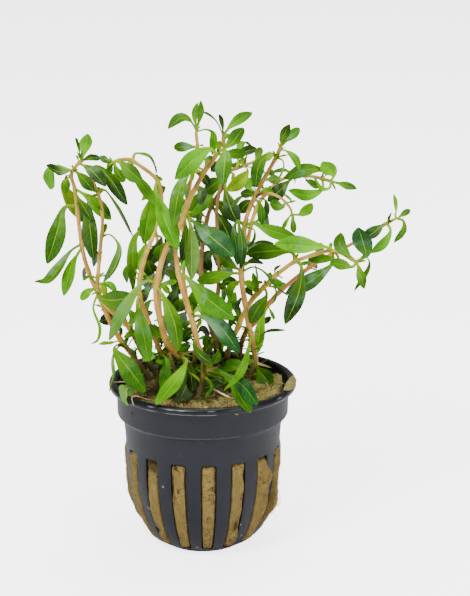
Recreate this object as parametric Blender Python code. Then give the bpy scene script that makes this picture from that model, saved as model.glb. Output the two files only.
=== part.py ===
"""A potted water primrose grown above water: leafy shoots in rockwool, in a slotted net pot."""

import math

import bmesh
import bpy
import numpy as np
from mathutils import Vector
from mathutils.bvhtree import BVHTree

MM = 0.001

# Net pot, mm
POT_HEIGHT = 50.0
RIM_RADIUS = 27.5
RIM_INNER_RADIUS = 25.0
LIP_HEIGHT = 2.5
NECK_RADIUS = 25.4
SHOULDER_RADIUS = 23.4
SHOULDER_HEIGHT = 40.0
SHOULDER_SLOPE = 1.2
WALL_RADIUS = 22.8
WALL_THICKNESS = 0.9
BOWL_HEIGHT = 27.0
BASE_RADIUS = 11.7
BASE_THICKNESS = 1.2
BOWL_POWER = 1.8
SLOT_COUNT = 16
SLOT_SHARE = 0.52
FIRST_SLOT_TURN = math.radians(-85.0)
SLOT_TOP = 31.0
SLOT_BOTTOM = 2.4
SLOT_ROWS = 4

# Rockwool, mm
GAP = 0.32
WOOL_TOP = 47.0
WOOL_BULGE = 0.5
WOOL_MOUND = 1.8
WOOL_EDGE_DROP = 0.5
ROOT_DEPTH = 6.0
SOCKET_GAP = 0.38

# Where the plant is seen from, mm: each place below is read on the upright plane
# through the pot's axis, as (across, up), and lies that many mm behind the plane
# along the line from this eye.
EYE = np.array([9.5, -619.2, 262.3])

# Leaves and stems, mm
STEM_SIDES = 4
SIDE_SHOOT_SIDES = 4
NODE_BAND = 1.1
BAND_SPACING = 2.8
RING_SPACING = 7.0
LEAF_THICKNESS = 0.5
LEAF_FOLD = 0.09
PETIOLE_WIDTH = 0.8
PETIOLE_START = 0.4
SWAY_TURN = 20.0
SWAY_REACH = 0.3
CLEARANCE = 0.25
REACH_STEP = 0.75
REACH_TRIES = 22
PATH_SAMPLES = 28
LONG_LEAF = 14.0
SMALL_LEAF_WIDTH = 1.7

# A leaf's outline: how far along it each section stands, and that section's share of the width.
SHORT_SECTIONS = ((0.2, 0.34), (0.62, 1.0))
LONG_SECTIONS = ((0.1, 0.16), (0.38, 0.78), (0.72, 0.92))
SMALL_SECTIONS = ((0.45, 1.0),)


def shoot(radii, route, leaves, sides=()):
    """One shoot: tip and foot radius, its route from foot to tip, its leaves and side shoots."""
    return {"radii": radii, "route": route, "leaves": leaves, "sides": sides}


# A route's points are (across, up, behind). A leaf is (width, roll, reach, foot, ..., tip):
# width is as it is seen, roll 0 faces the eye, 90 faces up, 180 shows its underside, and
# reach is how far its tip lies behind its foot, before it sways and settles.
SHOOTS = {
    "shoot_far_left": shoot(
        (0.55, 1.0),
        [(-15.5, 49.4, 7), (-17.5, 53, 6.5), (-20, 56.3, 6), (-22.3, 59.6, 5.5), (-24, 62, 5),
         (-26.5, 66.5, 4), (-28.8, 72, 3), (-31.4, 78.5, 1), (-32.7, 82, 0), (-34.3, 88, -2),
         (-35.1, 94, -4), (-35.7, 100, -6), (-36.4, 107.3, -8), (-37.3, 111, -9),
         (-36.2, 113.4, -10), (-34.2, 115.8, -11)],
        [(4.4, 60, -1, (-37, 113.2), (-40.8, 112.2), (-44.3, 114.1)),
         (4.4, 10, 4, (-37, 112.6), (-42.6, 113), (-44.4, 107.4)),
         (3.0, 75, 1, (-34.3, 115.6), (-35.1, 119), (-35.9, 122.1)),
         (3.3, 0, 3, (-34.2, 115.8), (-33.1, 119), (-32.3, 123.3)),
         (2.6, 75, 2, (-34.6, 115.4), (-32, 116.2), (-28.9, 116.4)),
         (4.2, 5, -4, (-35, 114.8), (-31.6, 112.7), (-27.5, 107.9)),
         (3.4, 0, 1, (-36.6, 113), (-33.6, 110), (-30.8, 106.5)),
         (4.4, 10, 5, (-37.3, 111), (-39.9, 108), (-34.5, 98.2)),
         (3.2, 15, 4, (-36.4, 107.3), (-31.5, 104), (-26.2, 98.2)),
         (3.6, 160, -3, (-36.3, 106.4), (-34.6, 103), (-31.8, 98)),
         (5.2, 0, -3, (-36.2, 102.4), (-39.6, 101.4), (-42, 93.8), (-44.8, 85)),
         (3.6, 45, -3, (-34.8, 91), (-38, 88.6), (-41.6, 83.2), (-44.9, 80), (-48.5, 79.5)),
         (3.4, 35, -4, (-34.6, 90), (-37.6, 84.5), (-40.2, 75.3)),
         (2.4, 60, -2, (-24, 61.6), (-27, 60.9), (-30.2, 60.4)),
         (2.0, 50, 2, (-24, 62.2), (-23.9, 64), (-24.4, 66.3)),
         (2.4, 60, -2, (-22.6, 60.4), (-21.2, 59), (-19.4, 56)),
         (6.0, 0, -17, (-23.4, 61), (-25.8, 59), (-21.8, 53.2), (-16.8, 45.8)),
         (2.4, 70, -12, (-23.6, 60.6), (-26, 57.5), (-25.9, 51.5), (-27.4, 46)),
         (3.6, 20, 9, (-35.8, 100), (-34.8, 101.6), (-33.6, 97.6)),
         (3.4, 20, 10, (-32.8, 82.6), (-33.6, 83.8), (-34.4, 80)),
         (3.2, 20, 9, (-28.4, 71), (-27.4, 72.4), (-25.6, 69))],
    ),
    "shoot_left": shoot(
        (0.5, 1.0),
        [(-13.4, 50.8, 11), (-16, 54.8, 9.5), (-18.5, 59.8, 8), (-21, 65, 6), (-23.5, 68, 4),
         (-26.5, 70.7, 1.5), (-29, 74, -1.5), (-30.4, 77.5, -3), (-30, 83, -4), (-29.3, 90, -4.5),
         (-28.6, 96.5, -5), (-28.8, 102, -5.5), (-29.7, 105.8, -6), (-31, 109.3, -6.5),
         (-32.3, 112.3, -7)],
        [(4.4, 0, -5, (-32.2, 112), (-29.9, 113.8), (-26, 110), (-21.4, 102.6)),
         (3.4, 80, 2, (-29.6, 105.7), (-27.6, 106.8), (-24.6, 102.2), (-19.9, 93)),
         (4.6, 0, -3, (-29.9, 105.6), (-32.2, 104.2), (-32.3, 98), (-31.3, 86)),
         (1.4, 40, -1, (-29.6, 106.2), (-29.2, 107.8)),
         (3.2, 150, -3, (-29, 92.9), (-26.4, 93.6), (-23.7, 90), (-25.2, 84.5), (-28.6, 79.4)),
         (1.6, 30, -1, (-28.9, 93.3), (-27.9, 95), (-27.5, 97)),
         (1.6, 60, -2, (-30.2, 80.8), (-32.4, 81.2), (-34.3, 79.9)),
         (1.6, 60, -2, (-30.2, 80.6), (-28.4, 81.3), (-26.6, 80.7)),
         (2.4, 30, -2, (-30.4, 77.6), (-33, 76.6), (-35.2, 74)),
         (2.6, 20, -3, (-30.3, 78.3), (-27.9, 79.2), (-26.3, 77.9), (-24.8, 76.2)),
         (5.6, 8, -7, (-30.3, 77), (-30.2, 74.8), (-25.5, 74), (-19.4, 75.2)),
         (1.8, 60, -6, (-30.5, 76.2), (-31.8, 71.5), (-30.2, 66), (-30.6, 62), (-32.7, 60.5)),
         (3.8, 10, 6, (-21.3, 65.6), (-23.6, 69.5), (-29.8, 67.4)),
         (3.4, 20, 5, (-20.4, 64), (-20.3, 68), (-14.4, 70.4)),
         (2.4, 40, -3, (-21.2, 64.6), (-22.6, 63), (-18.4, 64.4)),
         (3.4, 20, 9, (-28.7, 101), (-28.2, 102.4), (-26.6, 99)),
         (3.6, 20, 11, (-29.6, 87), (-30.6, 88), (-31.4, 84)),
         (3.2, 20, 9, (-18.2, 59), (-17.2, 60), (-15.6, 57))],
    ),
    "shoot_left_arching": shoot(
        (0.6, 1.0),
        [(-12.3, 48.5, 4.5), (-12.2, 53, 3), (-12.4, 58, 1), (-14, 62.5, -1), (-15.2, 66, -2),
         (-16.6, 70, -3.5), (-17.8, 73.5, -5), (-18.3, 77, -6.5), (-17.9, 81, -8),
         (-17, 85.5, -10), (-15, 91, -12), (-13.8, 94.5, -13), (-12.7, 98.5, -14.5),
         (-11.6, 103, -16), (-11.8, 107, -18), (-12.8, 109.8, -19), (-14.4, 111.6, -20),
         (-17, 113.6, -21), (-19, 115, -22), (-20.4, 115.8, -22.5), (-23, 115.8, -23),
         (-25.2, 115.2, -23.5)],
        [(4.2, 0, -4, (-24.8, 115.3), (-23.4, 115), (-20.8, 112.8), (-16.7, 109)),
         (2.6, 140, -1, (-25, 115.3), (-27.4, 115.5), (-29.1, 116.6)),
         (2.6, 15, 1, (-25, 115), (-24.2, 112.5), (-22.1, 109.3)),
         (2.4, 80, 3, (-19.6, 115.5), (-18.8, 117.6), (-15, 116.6), (-13.3, 113.8), (-13.1, 111.6)),
         (3.0, 15, 1, (-20, 115.6), (-19.2, 111.4), (-16.4, 107.5), (-12.9, 102.4)),
         (5.2, 0, -3, (-12.7, 109.5), (-13.3, 106.5), (-11.2, 99.5), (-7.2, 89)),
         (4.6, 0, 1, (-12.2, 108.6), (-14.5, 103), (-15.9, 97), (-16.7, 90.9)),
         (1.6, 30, -1, (-12.6, 109.6), (-12.6, 111.4)),
         (1.6, 30, 1, (-12.4, 109.4), (-11.5, 110.6)),
         (3.9, 10, 8, (-14.1, 93.6), (-11.6, 92.6), (-13, 88.5), (-15.8, 84.4)),
         (3.1, 5, 2, (-14.5, 92.4), (-17.2, 94.8), (-19.7, 92), (-20.3, 85), (-20, 76.4)),
         (2.2, 0, 4, (-17.9, 81), (-20.4, 84.2), (-22, 82), (-21.8, 79.2)),
         (4.9, 0, -4, (-18.1, 75.5), (-18.9, 73), (-17.7, 66.5), (-15.6, 55.2)),
         (2.8, 40, 5, (-17.9, 80), (-15.6, 82), (-14.4, 83.4)),
         (2.4, 20, -4, (-12.3, 57.6), (-14.6, 57.2), (-17.6, 55.4)),
         (2.0, 40, -5, (-12.2, 56.6), (-13.2, 55.4), (-11, 54)),
         (3.0, 20, -6, (-12.3, 58), (-10.4, 55), (-12.2, 46.6)),
         (3.8, 20, 12, (-12.2, 100), (-13.2, 101.6), (-14.6, 97.6)),
         (3.8, 20, 12, (-17.4, 85), (-16.2, 86), (-14.4, 82)),
         (3.4, 20, 10, (-14.6, 64), (-13.4, 65), (-12.2, 61))],
    ),
    "shoot_centre_front": shoot(
        (0.7, 1.25),
        [(-1.6, 48.4, 4), (-2.6, 51, 3), (-4.5, 54, 2), (-6.8, 56.8, 0), (-9.3, 59.4, -2),
         (-10.7, 62, -3.5), (-11.6, 65, -5), (-12.4, 68.5, -6.5), (-13.2, 72.5, -8),
         (-13.4, 76, -9), (-13.2, 79.2, -10), (-12.2, 83.8, -11), (-10.8, 88.3, -12),
         (-9, 92.2, -13), (-6.6, 96.3, -14), (-4.9, 99.7, -14.5), (-4, 102.8, -15),
         (-2.4, 106.4, -16), (-0.5, 110, -17), (1, 112.7, -17.5), (2.8, 114.9, -18),
         (4.7, 118.2, -19)],
        [(5.0, 5, -5, (4.2, 117.4), (2.2, 118.8), (-2.4, 115.8), (-7.6, 110.1)),
         (4.7, 0, -9, (4.6, 118), (6.6, 118.2), (6.5, 113.5), (6, 108.2)),
         (1.8, 30, -2, (4.6, 118), (5.3, 121.3)),
         (3.8, 10, 2, (4.6, 117.8), (8.3, 120.3), (10.4, 123), (11.9, 125)),
         (2.9, 30, 5, (4.4, 117.4), (8.4, 117.4), (12.6, 117.8)),
         (3.8, 0, -5, (0.9, 112.8), (-2.5, 113.4), (-6, 108), (-7.4, 102), (-8.3, 95.4)),
         (2.2, 20, 3, (1.2, 113), (1.4, 115), (3.4, 116.4)),
         (1.8, 30, -1, (0.6, 112), (-2, 112.4), (-2.6, 109.8)),
         (4.4, 175, -6, (-4.9, 99.4), (-3.4, 96.8), (-3, 89), (-3, 80.3)),
         (6.1, 0, -3, (-4.7, 100), (-2.8, 97.9), (2.5, 93), (9.2, 87.2)),
         (3.3, 10, 4, (-5.1, 99.2), (-4.6, 95), (-4.9, 90), (-5.6, 85.3)),
         (3.4, 165, -9, (-13.3, 78.8), (-15.8, 79.9), (-18.8, 77.5), (-23.5, 70), (-27.2, 61.8)),
         (2.4, 10, 5, (-13.2, 79.4), (-16.3, 81.2), (-18.3, 84.8), (-16, 91.2)),
         (3.8, 0, 6, (-13.3, 78.2), (-15.6, 77.2), (-18.1, 73.3)),
         (4.9, 0, -4, (-13.3, 78.6), (-11, 74.4), (-8.1, 67), (-6.9, 58.4)),
         (2.6, 50, 2, (-13.2, 79), (-10.5, 78.8), (-7.5, 79.8)),
         (3.2, 10, 5, (-10.6, 62), (-13.6, 64.4), (-15.6, 66.2)),
         (4.4, 0, -20, (-6.6, 56.7), (-4.7, 55.2), (-8, 49), (-13.7, 41.8)),
         (4.6, 0, -8, (-5.4, 55.2), (-3.8, 50.4), (-6.6, 42.6)),
         (0.6, 0, -3, (-7, 57.1), (-3.2, 54.8)),
         (0.6, 0, -3, (-7.4, 57.6), (-4.6, 58), (-2.6, 58.2)),
         (4.0, 20, 12, (-2.4, 106.6), (-1, 107.6), (0.2, 103)),
         (4.0, 20, 12, (-10.2, 89.6), (-11.6, 90.4), (-12.4, 86)),
         (3.8, 20, 11, (-12.2, 67.8), (-11, 68.6), (-9.6, 65))],
    ),
    "shoot_centre_tall": shoot(
        (0.55, 1.05),
        [(-1, 44.2, -8), (-0.3, 47.5, -8.2), (0.4, 51, -8.5), (0.6, 53.8, -9), (-0.7, 58.5, -9.5),
         (-1.8, 62, -10), (-2.6, 66.3, -10.5), (-3.3, 68.8, -11), (-4.2, 72, -11),
         (-5.4, 76, -10.5), (-6.3, 79.5, -10), (-6.9, 82.3, -9.5), (-7.4, 86, -8.5),
         (-7.7, 89.5, -7), (-7, 93.5, -5), (-5.8, 98, -3), (-4.6, 102, -1), (-3.8, 105.8, 0),
         (-3.2, 109.3, 1), (-2.3, 113, 2), (-1.5, 116.5, 2.5), (-1.2, 120, 3),
         (-1.5, 123, 3.5), (-1.4, 124.6, 3.5)],
        [(3.2, 50, -1, (-1.5, 124.2), (-3, 127), (-6, 127.8), (-9.5, 124.8)),
         (1.9, 10, 1, (-1.5, 124.4), (-1.9, 129), (-1.1, 132.3)),
         (2.0, -10, -1, (-1.4, 124.4), (-0.4, 129), (-0.3, 132.9)),
         (2.8, 20, -1, (-1.4, 124), (1.5, 124.6), (3.7, 123.2), (3.1, 117.2)),
         (2.8, 20, 1, (-1.2, 119.5), (-4, 119.6), (-7.9, 119.4)),
         (2.0, 60, -2, (-2.8, 111.5), (-4.1, 108), (-4.3, 103.6)),
         (2.6, 30, 5, (-2.4, 112.6), (0.6, 110.6), (2.2, 108)),
         (3.2, 60, 1, (-6.8, 82.4), (-5.8, 84.9), (-7.6, 86.9), (-9.7, 86.4), (-11.6, 79.6)),
         (6.2, 0, -7, (-6.7, 81.4), (-4.9, 81.2), (0.8, 75), (9.2, 68.3)),
         (2.0, 10, -3, (-6.8, 82), (-5, 84.9), (-2, 87.1)),
         (4.9, 0, -3, (-3.2, 68.2), (-1.2, 69.2), (4.8, 66.3), (10.9, 57.9)),
         (2.4, 20, 1, (-3.4, 69), (-0.8, 71.4), (1.2, 68.8)),
         (1.4, 40, 3, (-2.9, 67.4), (-1.4, 66), (-0.3, 68)),
         (3.0, 10, -4, (-1.9, 62.8), (-2.4, 60), (-0.4, 56.8), (3.2, 54.3)),
         (4.1, 0, -9, (0.4, 54.2), (5, 52.5), (9, 49.6), (12.6, 46.2), (16, 42.4)),
         (3.9, 0, -20, (0.5, 52.6), (6.4, 49), (10.9, 44), (12.6, 39.4)),
         (1.6, 30, -4, (0.3, 50.8), (3, 46.8), (1.2, 43.8)),
         (1.6, 30, -3, (0.5, 53.4), (2.9, 54.6)),
         (0.6, 0, -5, (0.6, 52), (4.6, 53.6)),
         (3.2, 0, 6, (0.5, 51.4), (4.4, 50.4), (9.6, 48.6)),
         (3.8, 20, 12, (-5.6, 98.6), (-7, 99.6), (-7.6, 95)),
         (3.8, 20, 11, (-7.5, 90), (-6.2, 91), (-4.6, 87)),
         (3.6, 20, 10, (-4.6, 73.4), (-6, 74.2), (-7, 70.4))],
    ),
    "shoot_right_centre": shoot(
        (0.6, 1.1),
        [(13.6, 48.5, 4.4), (14.3, 51.8, 4), (15.3, 55, 3.5), (15.1, 58.5, 2.5),
         (14.5, 61.8, 1.5), (13.9, 64.5, 0.5), (13.3, 67, 0), (12.8, 70.3, -0.7),
         (12.2, 74.3, -1.5), (11.5, 78.5, -2.5), (11.2, 81.8, -3.3), (11.7, 86, -4),
         (12.2, 90.5, -4.7), (12.2, 95, -5.5), (12.6, 98, -6), (13.7, 101.4, -6),
         (14.9, 104.2, -6), (16, 106.6, -5.5), (18, 110.5, -5), (19.9, 114, -4.5),
         (21.4, 116.8, -4), (22.3, 119, -3.5), (22.8, 120.3, -3.5)],
        [(2.6, 20, -1, (22.6, 119.8), (23.2, 122.5), (25, 126.1)),
         (2.6, -10, 1, (22.6, 119.8), (24.8, 122), (27.8, 125)),
         (3.0, 45, -3, (22.3, 118.7), (24.4, 118.2), (26.6, 115.9), (27.9, 112.5)),
         (3.7, 0, -5, (21.2, 116.6), (19.3, 117.7), (16.3, 113.8), (15.4, 107.7)),
         (2.4, 80, -2, (21.4, 116.2), (23.1, 115.6), (23.4, 113.3), (22.2, 110.3), (20.9, 108.7)),
         (2.6, 160, 5, (17.6, 109.8), (19.4, 110), (22.4, 110)),
         (2.6, 5, -3, (15.4, 105.4), (13.2, 105.8), (11.1, 106.1)),
         (2.4, 5, 2, (15.6, 106), (13.4, 107.6), (14.3, 110.6)),
         (1.9, 150, 3, (15.2, 104.8), (11.5, 105), (8.9, 101.8)),
         (2.6, 10, 3, (15.8, 105.8), (18.4, 106.4), (20.8, 105.6)),
         (2.3, 10, -2, (15, 104.4), (16.7, 102.4), (17.3, 96.7)),
         (2.2, 20, 2, (15.2, 104.8), (18.7, 103.4), (18.3, 98.1)),
         (4.3, 0, -5, (12.4, 96.6), (15, 97), (20.5, 94.7), (27.6, 92.6)),
         (2.9, 0, -3, (12.4, 96.8), (10.6, 97.3), (11.6, 91), (11.3, 83.5)),
         (2.5, 5, -1, (12.3, 96.2), (10.3, 97.7), (9.3, 95.3), (9.9, 90), (10.2, 84.4)),
         (2.0, 70, 1, (12.3, 95.8), (14.9, 95.2), (15.3, 92.4), (13.4, 89.8)),
         (3.8, 15, 4, (11.3, 82), (8.3, 82), (3, 80.8), (-1.5, 79.8)),
         (2.8, 80, -5, (11.3, 82.3), (14.8, 84), (18, 82.4), (21, 78.4), (25.8, 74.7)),
         (3.2, 10, 9, (11.4, 82.8), (8.6, 84.6), (5, 87.2)),
         (2.2, 40, 6, (11.5, 84), (14.4, 85.7), (17.7, 85.1)),
         (3.2, 30, -16, (13.9, 63.4), (12.9, 57.6), (10.8, 51), (6.1, 46.2)),
         (1.8, 60, -2, (15, 59.6), (16.7, 61.2), (18.6, 64.2), (24.2, 64.8)),
         (0.6, 0, -2, (14, 64.6), (16.6, 63.7)),
         (0.6, 0, -2, (15.3, 55), (20.2, 53.2)),
         (4.0, 0, -2, (15.2, 54.6), (16.5, 52.7), (19.8, 48.4)),
         (3.0, 10, 6, (15.2, 54.8), (10.6, 54), (5, 53.2)),
         (1.8, 40, -3, (15.3, 55.4), (13.4, 55.2)),
         (3.8, 20, 12, (12.2, 90), (13.4, 91), (14.6, 87.4)),
         (3.6, 20, 12, (12.4, 73.4), (11.2, 74.4), (9.6, 71)),
         (3.4, 20, 10, (18.2, 111), (19.4, 112.4), (20.6, 110))],
        [shoot(
            (0.4, 0.5),
            [(15.2, 104.8, -6), (16.4, 105.4, -6.6), (18, 106, -7), (20, 105.8, -7.3),
             (22.5, 104.6, -7.6), (24, 103.3, -7.8), (25.5, 101.2, -8), (25.9, 99.2, -8.2)],
            [(3.0, 0, -2, (25.8, 99.6), (28.6, 99.9), (31.6, 103)),
             (1.9, 50, -1, (25.7, 100), (24.4, 97.5), (23, 94.9)),
             (1.8, 0, 1, (25.8, 99.8), (26.3, 96.6), (26.4, 94.2)),
             (3.2, 0, -2, (24, 103.2), (22.8, 102), (19.5, 103)),
             (1.6, 60, 1, (24, 103.2), (25.6, 103.6), (23.5, 105.5))],
        )],
    ),
    "shoot_right_arching": shoot(
        (0.6, 1.05),
        [(6.9, 52.6, 17), (7.4, 57.5, 14), (8.6, 61.5, 11.5), (10.3, 65.5, 9.5), (11.6, 68.8, 8),
         (13.2, 72, 6.5), (14.8, 74.6, 5), (16.6, 76.6, 3.5), (18.8, 78.9, 1.5), (21, 81.2, -1),
         (23.8, 83.5, -3.5), (26.8, 85.6, -6), (30, 86.9, -8), (33.5, 88.1, -10),
         (37.2, 88.9, -12), (40.3, 88.1, -13.5), (43, 86.4, -14.5), (44.8, 85.3, -15)],
        [(3.4, 10, 1, (44.2, 85.6), (42.2, 87.8), (39.7, 90.8), (40, 94.2)),
         (3.2, 0, -2, (44.4, 85.4), (43.4, 84), (40.8, 84.6), (36.9, 85.2)),
         (2.8, 0, -2, (44.6, 85.3), (45.6, 82.5), (46.4, 80), (47, 77.4)),
         (2.2, 50, 0, (44.7, 85.4), (46.8, 87.1), (48.4, 85.4), (47.8, 82.5), (44.1, 76.8)),
         (5.4, 0, -4, (44.5, 85.6), (47.2, 87.4), (46.6, 90.8), (45, 95.7)),
         (5.0, 0, -4, (37.6, 88.9), (35.5, 90), (28.5, 90.4), (21, 90.8)),
         (2.7, 30, 3, (38, 88.7), (37.4, 86.6), (34.5, 86.5), (30.7, 86.2)),
         (1.4, 20, 0, (37.2, 88.9), (37.3, 91.3)),
         (4.7, 0, 3, (26.7, 85.5), (26, 88.2), (23.4, 89), (17.5, 88.6), (12.8, 87.9)),
         (4.9, 0, -4, (27, 85.6), (28.7, 83.9), (28.4, 78), (27, 73), (24.2, 66.7)),
         (1.2, 30, -1, (27.2, 85.7), (28.8, 85), (30.7, 85.4)),
         (1.2, 30, 1, (26.8, 85.6), (27.8, 88)),
         (1.4, 20, 1, (16.2, 76.2), (15.2, 79.8), (14.7, 82.2)),
         (1.2, 60, 2, (16.3, 76.4), (15.9, 80.6), (15.3, 84.8)),
         (1.2, 60, -1, (16.3, 76.2), (16.2, 79), (17.6, 79.4)),
         (2.6, 10, 2, (15.8, 75.8), (14.4, 77.8), (12.6, 79.8)),
         (1.8, 20, -1, (20.4, 80.4), (21.2, 79.2), (22, 80.3)),
         (1.8, 20, -2, (20, 80), (22.3, 78.4), (24.1, 79)),
         (1.4, 40, 2, (20.4, 80.6), (18.8, 82)),
         (1.8, 70, -2, (18.4, 78.4), (21.2, 77.6), (21.4, 74.4), (19.6, 72.2)),
         (4.2, 0, -2, (18.2, 78), (18.6, 75.2), (16, 71.4), (13.9, 67)),
         (2.8, 20, 5, (8.4, 61.4), (6, 60.6), (4.6, 57)),
         (2.6, 20, 6, (10.2, 65.6), (10.6, 70), (8.6, 73.6)),
         (3.8, 20, 11, (32.6, 87.8), (33.4, 89.4), (35, 88)),
         (3.6, 20, 11, (21.4, 81.6), (21, 83.2), (22.8, 84.6))],
    ),
    "shoot_far_right": shoot(
        (0.45, 1.05),
        [(10.2, 53.2, 18.4), (10.8, 57.5, 17.5), (11.6, 61.5, 16.5), (13, 64.8, 15.5),
         (15.2, 67, 15), (17.2, 69.6, 14.5), (19.1, 72.6, 14), (21.6, 75.6, 13.5),
         (24.8, 78.6, 13), (28.6, 81.9, 12), (33, 85.2, 11), (37.5, 87.9, 10), (42.3, 90.4, 9),
         (47, 93.1, 8), (51, 95.6, 7), (54, 97.5, 6.5), (56.3, 98.7, 6.5)],
        [(1.9, 50, 1, (55.6, 98.4), (55.6, 102), (54.9, 105.7)),
         (2.0, 10, -1, (56.1, 98.6), (57.8, 99.7), (59.8, 101)),
         (2.4, 40, -2, (56, 98.5), (57.9, 97.7), (58, 94.7), (55.4, 91.3)),
         (3.4, 0, -4, (53.6, 97.3), (52.6, 97), (50, 94.8), (46.9, 92.4)),
         (2.7, 30, -2, (53.2, 97), (54.2, 94.5), (52, 90.6), (48.7, 88.2)),
         (4.7, 0, -3, (37.4, 87.8), (37.5, 84.8), (31.5, 79.7), (24.3, 76)),
         (3.2, 0, -5, (19.2, 72.7), (18.3, 70.6), (16.9, 66), (16, 57.6)),
         (1.6, 30, -2, (19, 72.4), (19.9, 70.3), (20.8, 68)),
         (1.8, 30, 1, (16.8, 69), (18, 67.4), (20, 68.8)),
         (2.6, 20, 5, (13.6, 65.4), (14, 61), (17.4, 60.6)),
         (3.6, 20, 11, (45.6, 92.4), (46.6, 94), (48.6, 93.4)),
         (3.6, 20, 11, (30.6, 83.4), (31, 85), (33.2, 84.6)),
         (3.4, 20, 11, (22.6, 76.6), (22, 78), (23.6, 79))],
    ),
    "shoot_centre_twig": shoot(
        (0.5, 0.85),
        [(4.3, 53.9, 20.5), (4.6, 59, 20.5), (4.7, 64, 20), (4.5, 70, 18.5), (4.6, 77, 17),
         (4.9, 82, 15), (4.8, 88, 13), (4.4, 94, 11), (4.2, 100, 9), (4.8, 105, 7),
         (5.8, 109.3, 5), (7.6, 112.2, 3.5), (10, 113.2, 2), (12, 114, 1), (14, 114.8, 0),
         (15.8, 115.7, 0)],
        [(2.2, 10, 1, (15.3, 115.4), (16, 117.4), (16.9, 119.4)),
         (3.0, 10, 3, (11.8, 113.9), (11.4, 116.6), (12.4, 118), (15.6, 119.1)),
         (4.0, 0, -6, (12, 114), (13.1, 112.4), (10.4, 109.2), (6.8, 106.7)),
         (2.6, 20, 5, (10, 113.2), (11.6, 120.6), (14.5, 119.4)),
         (1.6, 50, -1, (7.8, 112.2), (9.1, 111.4), (8.8, 109.6)),
         (3.4, 10, 3, (4.5, 95), (2, 93.4), (-1, 92.6)),
         (3.6, 10, 2, (4.8, 86), (2.6, 88.4), (1, 86.4), (2.6, 82.6)),
         (3.2, 10, -2, (4.6, 77), (7, 79.6), (10.6, 78.6)),
         (2.8, 20, 4, (4.5, 70), (7.4, 70.6), (9.6, 76.4)),
         (2.6, 20, -4, (4.6, 62), (2, 62.4), (0.4, 60)),
         (3.6, 20, 10, (4.9, 83.4), (6.4, 84.4), (7.6, 81))],
    ),
    "shoot_top": shoot(
        (0.6, 1.0),
        [(3.2, 51.7, 14), (4, 56, 14.5), (4.1, 60.5, 14.5), (3, 64, 14), (1.7, 68, 13.5),
         (0.7, 71.5, 13.5), (0, 77, 14), (-0.4, 83, 14.5), (0.1, 90, 15), (1.2, 97, 15.5),
         (2.3, 101, 16), (4, 104.5, 16.5), (6, 107.8, 17), (6.9, 110.5, 17.5), (6.8, 114, 18),
         (6.5, 118, 18.5), (6.2, 122, 19), (6.2, 123.6, 19)],
        [(1.8, 40, 1, (6.2, 123.2), (5.8, 126), (5, 128.9)),
         (2.2, 75, -2, (6.2, 122.6), (4.5, 126.6), (2.2, 128.7), (0, 129.8)),
         (2.8, 50, 3, (6.2, 122.8), (8, 125.3), (11, 127.8), (14.4, 129.4)),
         (2.2, 60, 4, (6.3, 121.4), (7.4, 122.6), (9, 121.6)),
         (4.4, 0, -8, (6.8, 110.6), (4.2, 109.2), (0.7, 106.4)),
         (4.4, 5, -10, (6.6, 109.4), (6.9, 106), (8.4, 101), (10.6, 96.8)),
         (4.6, 5, -4, (5.6, 107.2), (4, 106.4), (0, 102.2), (-3.6, 99.3)),
         (4.3, 0, -3, (3.4, 103.4), (3.3, 101.6), (6, 96.8), (8.9, 90.6)),
         (3.4, 10, 7, (6.6, 117), (9, 114), (12, 116.2)),
         (3.6, 10, 6, (0.3, 91.5), (3.4, 88.8), (5.6, 83.8)),
         (3.4, 10, 4, (-0.1, 79), (-2.4, 76), (-3.2, 70.4)),
         (3.2, 10, -3, (3.4, 62.6), (1, 58.4), (-2, 56.4)),
         (2.6, 20, -5, (4.1, 59.4), (4.6, 57.4), (3.2, 54.4)),
         (3.6, 20, 10, (1, 96.6), (-0.4, 97.6), (-1.4, 94)),
         (3.4, 20, 10, (0.4, 71.6), (1.8, 72.6), (2.8, 69))],
    ),
    "shoot_right_upper": shoot(
        (0.55, 0.95),
        [(15.8, 51.2, 12.4), (15.6, 56, 11.5), (15, 60.5, 11), (13.9, 65, 10.5),
         (12.9, 69.5, 10), (12.4, 74, 10), (11.7, 79, 10.5), (11.6, 83, 11), (12.3, 88, 11.5),
         (13.4, 93, 12), (14.5, 98, 12.5), (15.6, 101.3, 12.5), (16.8, 103.8, 13),
         (18.5, 106, 14), (20.8, 108.4, 15), (23, 110.1, 16), (26, 110.9, 17.5),
         (29, 111.1, 19), (32, 110.8, 20), (34.5, 110.2, 21), (37.5, 109.3, 22)],
        [(2.2, 30, -1, (37.2, 109.4), (40.5, 108.5), (44.3, 107.3)),
         (2.1, 60, -3, (37, 109.4), (36.4, 107.4), (34, 107.4), (31.9, 110.6)),
         (4.3, 0, -3, (36.8, 109.5), (37.6, 111.6), (34.4, 115.2)),
         (3.4, 0, -2, (34.5, 110.2), (34.6, 108.2), (33.2, 106.7), (29.3, 105.9), (24.8, 107.3)),
         (3.9, 5, -5, (34.3, 110.3), (34.6, 112.4), (32, 113.1), (28, 112.5), (23.4, 110.4)),
         (3.0, 20, 6, (29.4, 111.1), (30.6, 108.8), (33.6, 108)),
         (4.1, 0, -8, (26.5, 111), (25.2, 109.8), (22, 106.5), (18.9, 103.7)),
         (3.2, 20, 8, (26, 110.9), (24, 112.6), (20, 112.2)),
         (3.0, 20, 7, (18.4, 105.8), (16.6, 109), (13, 109)),
         (3.4, 10, 6, (14.2, 96.6), (17.2, 98.4), (19, 95.6)),
         (3.6, 10, 5, (12.2, 87.6), (15, 90.6), (20.6, 91)),
         (3.0, 20, 5, (11.6, 80), (8.8, 78.2), (7.4, 74.2)),
         (3.6, 20, 10, (13.2, 92), (12, 93), (10.8, 90)),
         (3.4, 20, 10, (12.9, 69.5), (14.2, 70.4), (15.6, 67))],
    ),
    "shoot_back_left": shoot(
        (0.5, 1.0),
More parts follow.
